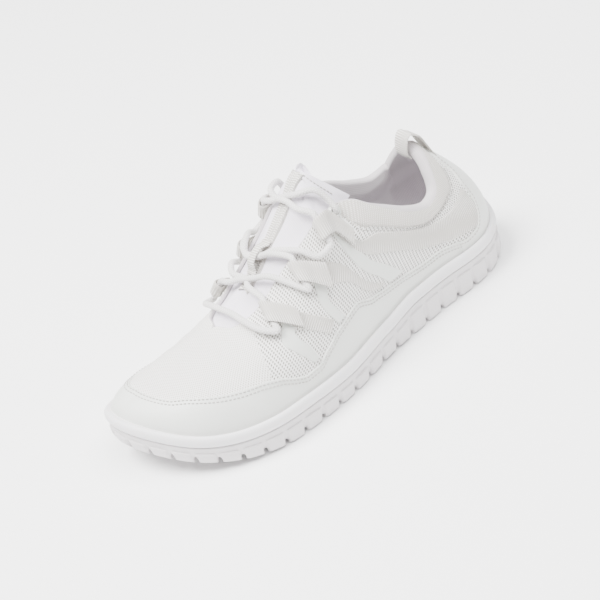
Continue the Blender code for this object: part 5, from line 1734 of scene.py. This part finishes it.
def stitch_row(name, line, outward, sizes, look):
    """Row of short thread stitches along a line, each arched over the cloth."""
    length = walked(line)
    count = int(length[-1] / sizes.stitch_pitch)
    points = []
    faces = []
    sides = THREAD_SIDES
    stations = len(STITCH_PARTS)
    for number in range(count):
        middle = (number + 0.5) * sizes.stitch_pitch
        places = middle + np.array(STITCH_PARTS) * sizes.stitch_length
        spine = np.stack([np.interp(places, length, line[:, axis]) for axis in range(3)], -1)
        out = unit(np.stack(
            [np.interp(places, length, outward[:, axis]) for axis in range(3)], -1
        ))
        way = unit(spine[-1] - spine[0])
        for part, (centre, up) in enumerate(zip(spine, out)):
            across = unit(np.cross(way, up))
            radius = STITCH_RADIUS * (STITCH_TIP if part in (0, stations - 1) else 1.0)
            lift = STITCH_LIFTS[part]
            for angle in np.linspace(0, math.tau, sides, endpoint=False):
                points.append(
                    centre + up * (lift + radius * math.cos(angle))
                    + across * radius * math.sin(angle)
                )
        faces += quads(stations, sides, wrap=True, first=number * stations * sides)
    piece = make_piece(name, points, faces, [look], closed=True, crease=THREAD_SHARP)
    place(piece, "webbing")


def panel_row(columns, down, lift):
    """Line at a distance under a panel's edge, and the way out from the shoe along it."""
    sections = np.array([section for _, section in columns])
    step = 0.01
    shares = edge_share(sections)[:, None] + np.array([0.0, -step])
    pair = on_columns(columns, shares)
    metre = step / np.linalg.norm(pair[:, 0] - pair[:, 1], axis=-1)
    place_down = (shares[:, 0] - down * metre)[:, None]
    line = on_columns(columns, place_down, lift)[:, 0]
    return line, on_columns(columns, place_down, lift + OUT_STEP)[:, 0] - line


def make_stitches(sizes, colours):
    """Stitch rows on the rand, the counter, the collar's seam and the tongue's hem."""
    look = sewing_thread(colours)
    for number, down in enumerate((sizes.first_row, sizes.second_row)):
        line, outward = panel_row(rand_columns(), down, FILM_RISE)
        stitch_row("rand_stitches_%d" % (number + 1), line, outward, sizes, look)
    line, outward = panel_row(counter_columns(), sizes.first_row, COUNTER_RISE)
    stitch_row("counter_stitches", line, outward, sizes, look)
    for side, word in SIDE_NAMES.items():
        sections = np.linspace(*SEAM_STITCHES, STITCH_LINE_STEPS)
        for number, above in enumerate(SEAM_ROWS):
            share = seam_share(sections) + above / RIB_SPAN
            line = cloth_point(side, sections, share, 0.0)
            outward = cloth_point(side, sections, share, OUT_STEP) - line
            stitch_row(
                "collar_stitches_%s_%d" % (word, number + 1), line, outward, sizes, look
            )
    across = np.linspace(-HEM_REACH, HEM_REACH, HEM_LINE_STEPS)
    along = np.full(HEM_LINE_STEPS, TONGUE_HEM_LINE)
    line = tongue_point(along, across, HEM_LIFT)
    outward = tongue_point(along, across, HEM_LIFT + OUT_STEP) - line
    stitch_row("tongue_stitches", line, outward, sizes, look)


# Camera at the photograph's view: its direction and tilt, distance, what it looks at,
# focal length and picture width in pixels, the pixel of that point, sensor in millimetres
AZIMUTH = math.radians(60.5)
ELEVATION = math.radians(35.7)
ROLL = math.radians(-17.3)
FAR = 1.08
LOOK_AT = np.array([0.135, 0.0, 0.040])
FOCAL = 1877.0
FRAME = 600.0
LOOK_PIXEL = (302.6, 292.6)
SENSOR = 36.0
NEAREST = 0.01
FARTHEST = 100.0

# Floor, a hair under the sole so that the two don't share a face, and its rings
FLOOR = -0.0002
FLOOR_RINGS = (0.4, 1.2, 3.0, 6.0)
WORLD_STRENGTH = 0.5
# Softboxes: name, place, what it looks at, width, watts, colour
LIGHTS = (
    ("key_softbox", (0.8, -0.3, 1.9), (0.0, 0.0, 0.0), 1.2, 150.0, (1.0, 0.995, 0.985)),
    ("top_softbox", (-0.3, 0.6, 2.0), (0.0, 0.0, 0.0), 1.6, 85.0, (0.99, 0.995, 1.0)),
)


def make_camera():
    """Camera with the photograph's view of the shoe."""
    back = np.array([
        math.cos(AZIMUTH) * math.cos(ELEVATION),
        math.sin(AZIMUTH) * math.cos(ELEVATION),
        math.sin(ELEVATION),
    ])
    level = unit(np.cross((0.0, 0.0, 1.0), back))
    upright = np.cross(back, level)
    right = level * math.cos(ROLL) + upright * math.sin(ROLL)
    up = upright * math.cos(ROLL) - level * math.sin(ROLL)
    data = bpy.data.cameras.new("studio_camera")
    data.sensor_fit = "HORIZONTAL"
    data.sensor_width = SENSOR
    data.lens = FOCAL / FRAME * SENSOR
    data.shift_x = -(LOOK_PIXEL[0] - FRAME / 2) / FRAME
    data.shift_y = (LOOK_PIXEL[1] - FRAME / 2) / FRAME
    data.clip_start = NEAREST
    data.clip_end = FARTHEST
    camera = bpy.data.objects.new("studio_camera", data)
    bpy.context.scene.collection.objects.link(camera)
    matrix = np.eye(4)
    matrix[:3, 0] = right
    matrix[:3, 1] = up
    matrix[:3, 2] = back
    matrix[:3, 3] = LOOK_AT - ORIGIN + back * FAR
    camera.matrix_world = Matrix(matrix.tolist())
    bpy.context.scene.camera = camera


def add_light(name, spot, aim, size, power, colour):
    """Round softbox at a spot, turned to what it lights."""
    data = bpy.data.lights.new(name, "AREA")
    data.shape = "DISK"
    data.size = size
    data.energy = power
    data.color = colour
    lamp = bpy.data.objects.new(name, data)
    bpy.context.scene.collection.objects.link(lamp)
    back = unit(np.array(spot) - np.array(aim))
    level = unit(np.cross((0.0, 1.0, 0.001), back))
    matrix = np.eye(4)
    matrix[:3, 0] = level
    matrix[:3, 1] = np.cross(back, level)
    matrix[:3, 2] = back
    matrix[:3, 3] = spot
    lamp.matrix_world = Matrix(matrix.tolist())


def make_stage(colours):
    """Pale floor, soft studio lights and the camera at the photograph's angle."""
    make_camera()
    turns = ROUND_SIDES
    points = []
    for ring in FLOOR_RINGS:
        for angle in np.linspace(0, math.tau, turns, endpoint=False):
            points.append((ring * math.cos(angle), ring * math.sin(angle), FLOOR))
    faces = quads(len(FLOOR_RINGS), turns, wrap=True) + [tuple(range(turns))]
    # Seamless background paper: matt, with a barely visible tooth
    paper = moulded(
        "seamless_background_paper", colours.backdrop, colours.backdrop, 0.0012, 0.00002,
        {"IOR": 1.45, "Specular IOR Level": 0.2}, (0.9, 0.95),
    )
    floor = make_piece("studio_floor", np.array(points) + ORIGIN, faces, [paper],
                       middle=(0.0, 0.0, -9.0))
    for light in LIGHTS:
        add_light(*light)
    world = bpy.data.worlds.new("studio_air")
    bpy.context.scene.world = world
    world.use_nodes = True
    air = world.node_tree.nodes["Background"]
    air.inputs["Color"].default_value = (*linear("#FFFFFF"), 1.0)
    air.inputs["Strength"].default_value = WORLD_STRENGTH


def colour_choice(word, description, code):
    """Colour property with an sRGB hex default."""
    return bpy.props.FloatVectorProperty(
        name=word, description=description, subtype="COLOR", size=3, min=0.0, max=1.0,
        default=linear(code),
    )


def length_choice(word, description, default):
    """Length property in metres."""
    return bpy.props.FloatProperty(
        name=word, description=description, unit="LENGTH", min=0.0001, default=default,
        precision=4,
    )


class ShoeSizes(bpy.types.PropertyGroup):
    mesh_pitch: length_choice("Mesh pitch", "Distance between threads of the open mesh", 0.0019)
    vamp_pitch: length_choice("Vamp pitch", "Distance between threads over the toes", 0.00125)
    rib_pitch: length_choice("Collar rib", "Distance between ribs of the collar knit", 0.0013)
    lining_pitch: length_choice("Lining wale", "Distance between wales of the lining", 0.0008)
    webbing_pitch: length_choice("Webbing rib", "Distance between ribs of the webbing", 0.0014)
    braid_pitch: length_choice("Braid", "Distance between plaits of the lace", 0.0013)
    stitch_pitch: length_choice("Stitch pitch", "Distance from stitch to stitch", 0.0023)
    stitch_length: length_choice("Stitch length", "Length of one stitch", 0.0018)
    first_row: length_choice("First row", "Distance of the first stitch row from its edge", 0.0013)
    second_row: length_choice("Second row", "Distance of the second stitch row", 0.0034)


class ShoeColours(bpy.types.PropertyGroup):
    mesh: colour_choice("Mesh", "Threads of the upper's mesh", "#F8F6F3")
    # Painted shade: the dark colour that fills the open gaps of the mesh
    mesh_gap_shade: colour_choice("Mesh gaps", "Gaps of the open mesh at the sides", "#7C776F")
    # Painted shade between the threads of the vamp's finer knit and between the collar's ribs
    mesh_shade: colour_choice("Mesh depth", "Between the threads of finer knits", "#C2BCB4")
    film: colour_choice("Film", "Overlay film", "#DFE1DC")
    film_shade: colour_choice("Film shade", "Darker clouds in the film", "#D6D8D3")
    webbing: colour_choice("Webbing", "Loops, strip and pull tab", "#F2F0EC")
    # Painted shade in the grooves between the webbing's ribs
    webbing_shade: colour_choice("Webbing depth", "Between the ribs of the webbing", "#BDB8B1")
    lace: colour_choice("Lace", "Cord of the lace", "#F4F3F2")
    # Painted shade between the plaits of the lace, and random darker clouds on the thread
    lace_shade: colour_choice("Lace depth", "Between the plaits of the lace", "#D5D2D0")
    # Painted shade: the thread is painted dark for the holes and shadows along each stitch row
    thread: colour_choice("Thread", "Sewing thread", "#837D75")
    lining: colour_choice("Tongue", "Cloth of the tongue", "#F7F3F9")
    # Painted shade between the wales of the tongue, and on the wall of each eyelet's hole
    lining_shade: colour_choice("Tongue depth", "Between the wales of the tongue", "#E6E0EA")
    # Painted shade: the lining inside is the tongue's tricot painted greyer for the dim inside of
    # the shoe, and its depth colour is painted shade between the wales
    inside: colour_choice("Lining", "Lining inside the shoe", "#D0CACC")
    inside_shade: colour_choice("Lining depth", "Between the wales of the lining", "#BEB8BA")
    bead: colour_choice("Bead", "Foam bead round the sole", "#E7E4E5")
    bead_shade: colour_choice("Bead shade", "Darker clouds in the foam", "#DFDBDD")
    outsole: colour_choice("Outsole", "Rubber of the outsole", "#D9D5D6")
    outsole_shade: colour_choice("Outsole shade", "Darker clouds in the rubber", "#CFCBCC")
    backdrop: colour_choice("Backdrop", "Background paper", "#FEFEFE")


class SHOE_OT_stage(bpy.types.Operator):
    """Make the pale floor, the soft lights and the camera"""

    bl_idname = "shoe.stage"
    bl_label = "Stage"

    def execute(self, context):
        make_stage(context.scene.shoe_colours)
        return {"FINISHED"}


class SHOE_OT_outsole(bpy.types.Operator):
    """Make the moulded rubber outsole with its tread"""

    bl_idname = "shoe.outsole"
    bl_label = "Outsole"

    def execute(self, context):
        make_outsole(context.scene.shoe_colours)
        return {"FINISHED"}


class SHOE_OT_bead(bpy.types.Operator):
    """Make the foam bead between the outsole and the upper"""

    bl_idname = "shoe.bead"
    bl_label = "Midsole bead"

    def execute(self, context):
        make_bead(context.scene.shoe_colours)
        return {"FINISHED"}


class SHOE_OT_insole(bpy.types.Operator):
    """Make the knit covered footbed"""

    bl_idname = "shoe.insole"
    bl_label = "Insole"

    def execute(self, context):
        make_insole(context.scene.shoe_sizes, context.scene.shoe_colours)
        return {"FINISHED"}


class SHOE_OT_upper(bpy.types.Operator):
    """Make the mesh upper and the lining inside it"""

    bl_idname = "shoe.upper"
    bl_label = "Upper and lining"

    def execute(self, context):
        make_upper(context.scene.shoe_sizes, context.scene.shoe_colours)
        make_lining(context.scene.shoe_sizes, context.scene.shoe_colours)
        return {"FINISHED"}


class SHOE_OT_panels(bpy.types.Operator):
    """Make the heel counter and the toe rand of pressed film"""

    bl_idname = "shoe.panels"
    bl_label = "Film panels"

    def execute(self, context):
        make_panels(context.scene.shoe_colours)
        return {"FINISHED"}


class SHOE_OT_straps(bpy.types.Operator):
    """Make the forked straps of webbing and film on both sides"""

    bl_idname = "shoe.straps"
    bl_label = "Straps"

    def execute(self, context):
        make_straps(context.scene.shoe_sizes, context.scene.shoe_colours)
        return {"FINISHED"}


class SHOE_OT_tongue(bpy.types.Operator):
    """Make the padded tongue with its strip and keeper"""

    bl_idname = "shoe.tongue"
    bl_label = "Tongue"

    def execute(self, context):
        make_tongue(context.scene.shoe_sizes, context.scene.shoe_colours)
        make_strip(context.scene.shoe_sizes, context.scene.shoe_colours)
        return {"FINISHED"}


class SHOE_OT_loops(bpy.types.Operator):
    """Make the six lace loops"""

    bl_idname = "shoe.loops"
    bl_label = "Lace loops"

    def execute(self, context):
        make_loops(context.scene.shoe_sizes, context.scene.shoe_colours)
        return {"FINISHED"}


class SHOE_OT_eyelets(bpy.types.Operator):
    """Make the two top eyelets"""

    bl_idname = "shoe.eyelets"
    bl_label = "Eyelets"

    def execute(self, context):
        make_eyelets(context.scene.shoe_colours)
        return {"FINISHED"}


class SHOE_OT_pull_tab(bpy.types.Operator):
    """Make the pull tab at the heel"""

    bl_idname = "shoe.pull_tab"
    bl_label = "Pull tab"

    def execute(self, context):
        make_pull_tab(context.scene.shoe_sizes, context.scene.shoe_colours)
        return {"FINISHED"}


class SHOE_OT_lace(bpy.types.Operator):
    """Make the braided lace through its loops and eyelets"""

    bl_idname = "shoe.lace"
    bl_label = "Lace"

    def execute(self, context):
        make_lace(context.scene.shoe_sizes, context.scene.shoe_colours)
        return {"FINISHED"}


class SHOE_OT_stitches(bpy.types.Operator):
    """Make the rows of stitches on panels, collar and tongue"""

    bl_idname = "shoe.stitches"
    bl_label = "Stitches"

    def execute(self, context):
        make_stitches(context.scene.shoe_sizes, context.scene.shoe_colours)
        return {"FINISHED"}


OPERATORS = (
    SHOE_OT_stage, SHOE_OT_outsole, SHOE_OT_bead, SHOE_OT_insole, SHOE_OT_upper, SHOE_OT_panels,
    SHOE_OT_straps, SHOE_OT_tongue, SHOE_OT_loops, SHOE_OT_eyelets, SHOE_OT_pull_tab,
    SHOE_OT_lace, SHOE_OT_stitches,
)


class SHOE_PT_pieces(bpy.types.Panel):
    """Sizes, colours and pieces of the shoe"""

    bl_idname = "SHOE_PT_pieces"
    bl_label = "Barefoot shoe"
    bl_space_type = "VIEW_3D"
    bl_region_type = "UI"
    bl_category = "Shoe"

    def draw(self, context):
        for group in (context.scene.shoe_sizes, context.scene.shoe_colours):
            box = self.layout.box()
            for choice in group.bl_rna.properties.keys():
                if choice not in ("rna_type", "name"):
                    box.prop(group, choice)
        for operator in OPERATORS:
            self.layout.operator(operator.bl_idname)


CLASSES = (ShoeSizes, ShoeColours, *OPERATORS, SHOE_PT_pieces)


def register():
    for kind in CLASSES:
        bpy.utils.register_class(kind)
    bpy.types.Scene.shoe_sizes = bpy.props.PointerProperty(type=ShoeSizes)
    bpy.types.Scene.shoe_colours = bpy.props.PointerProperty(type=ShoeColours)


def unregister():
    del bpy.types.Scene.shoe_colours
    del bpy.types.Scene.shoe_sizes
    for kind in reversed(CLASSES):
        bpy.utils.unregister_class(kind)


def main():
    register()
    for operator in OPERATORS:
        group, word = operator.bl_idname.split(".")
        getattr(getattr(bpy.ops, group), word)()


if __name__ == "__main__":
    main()
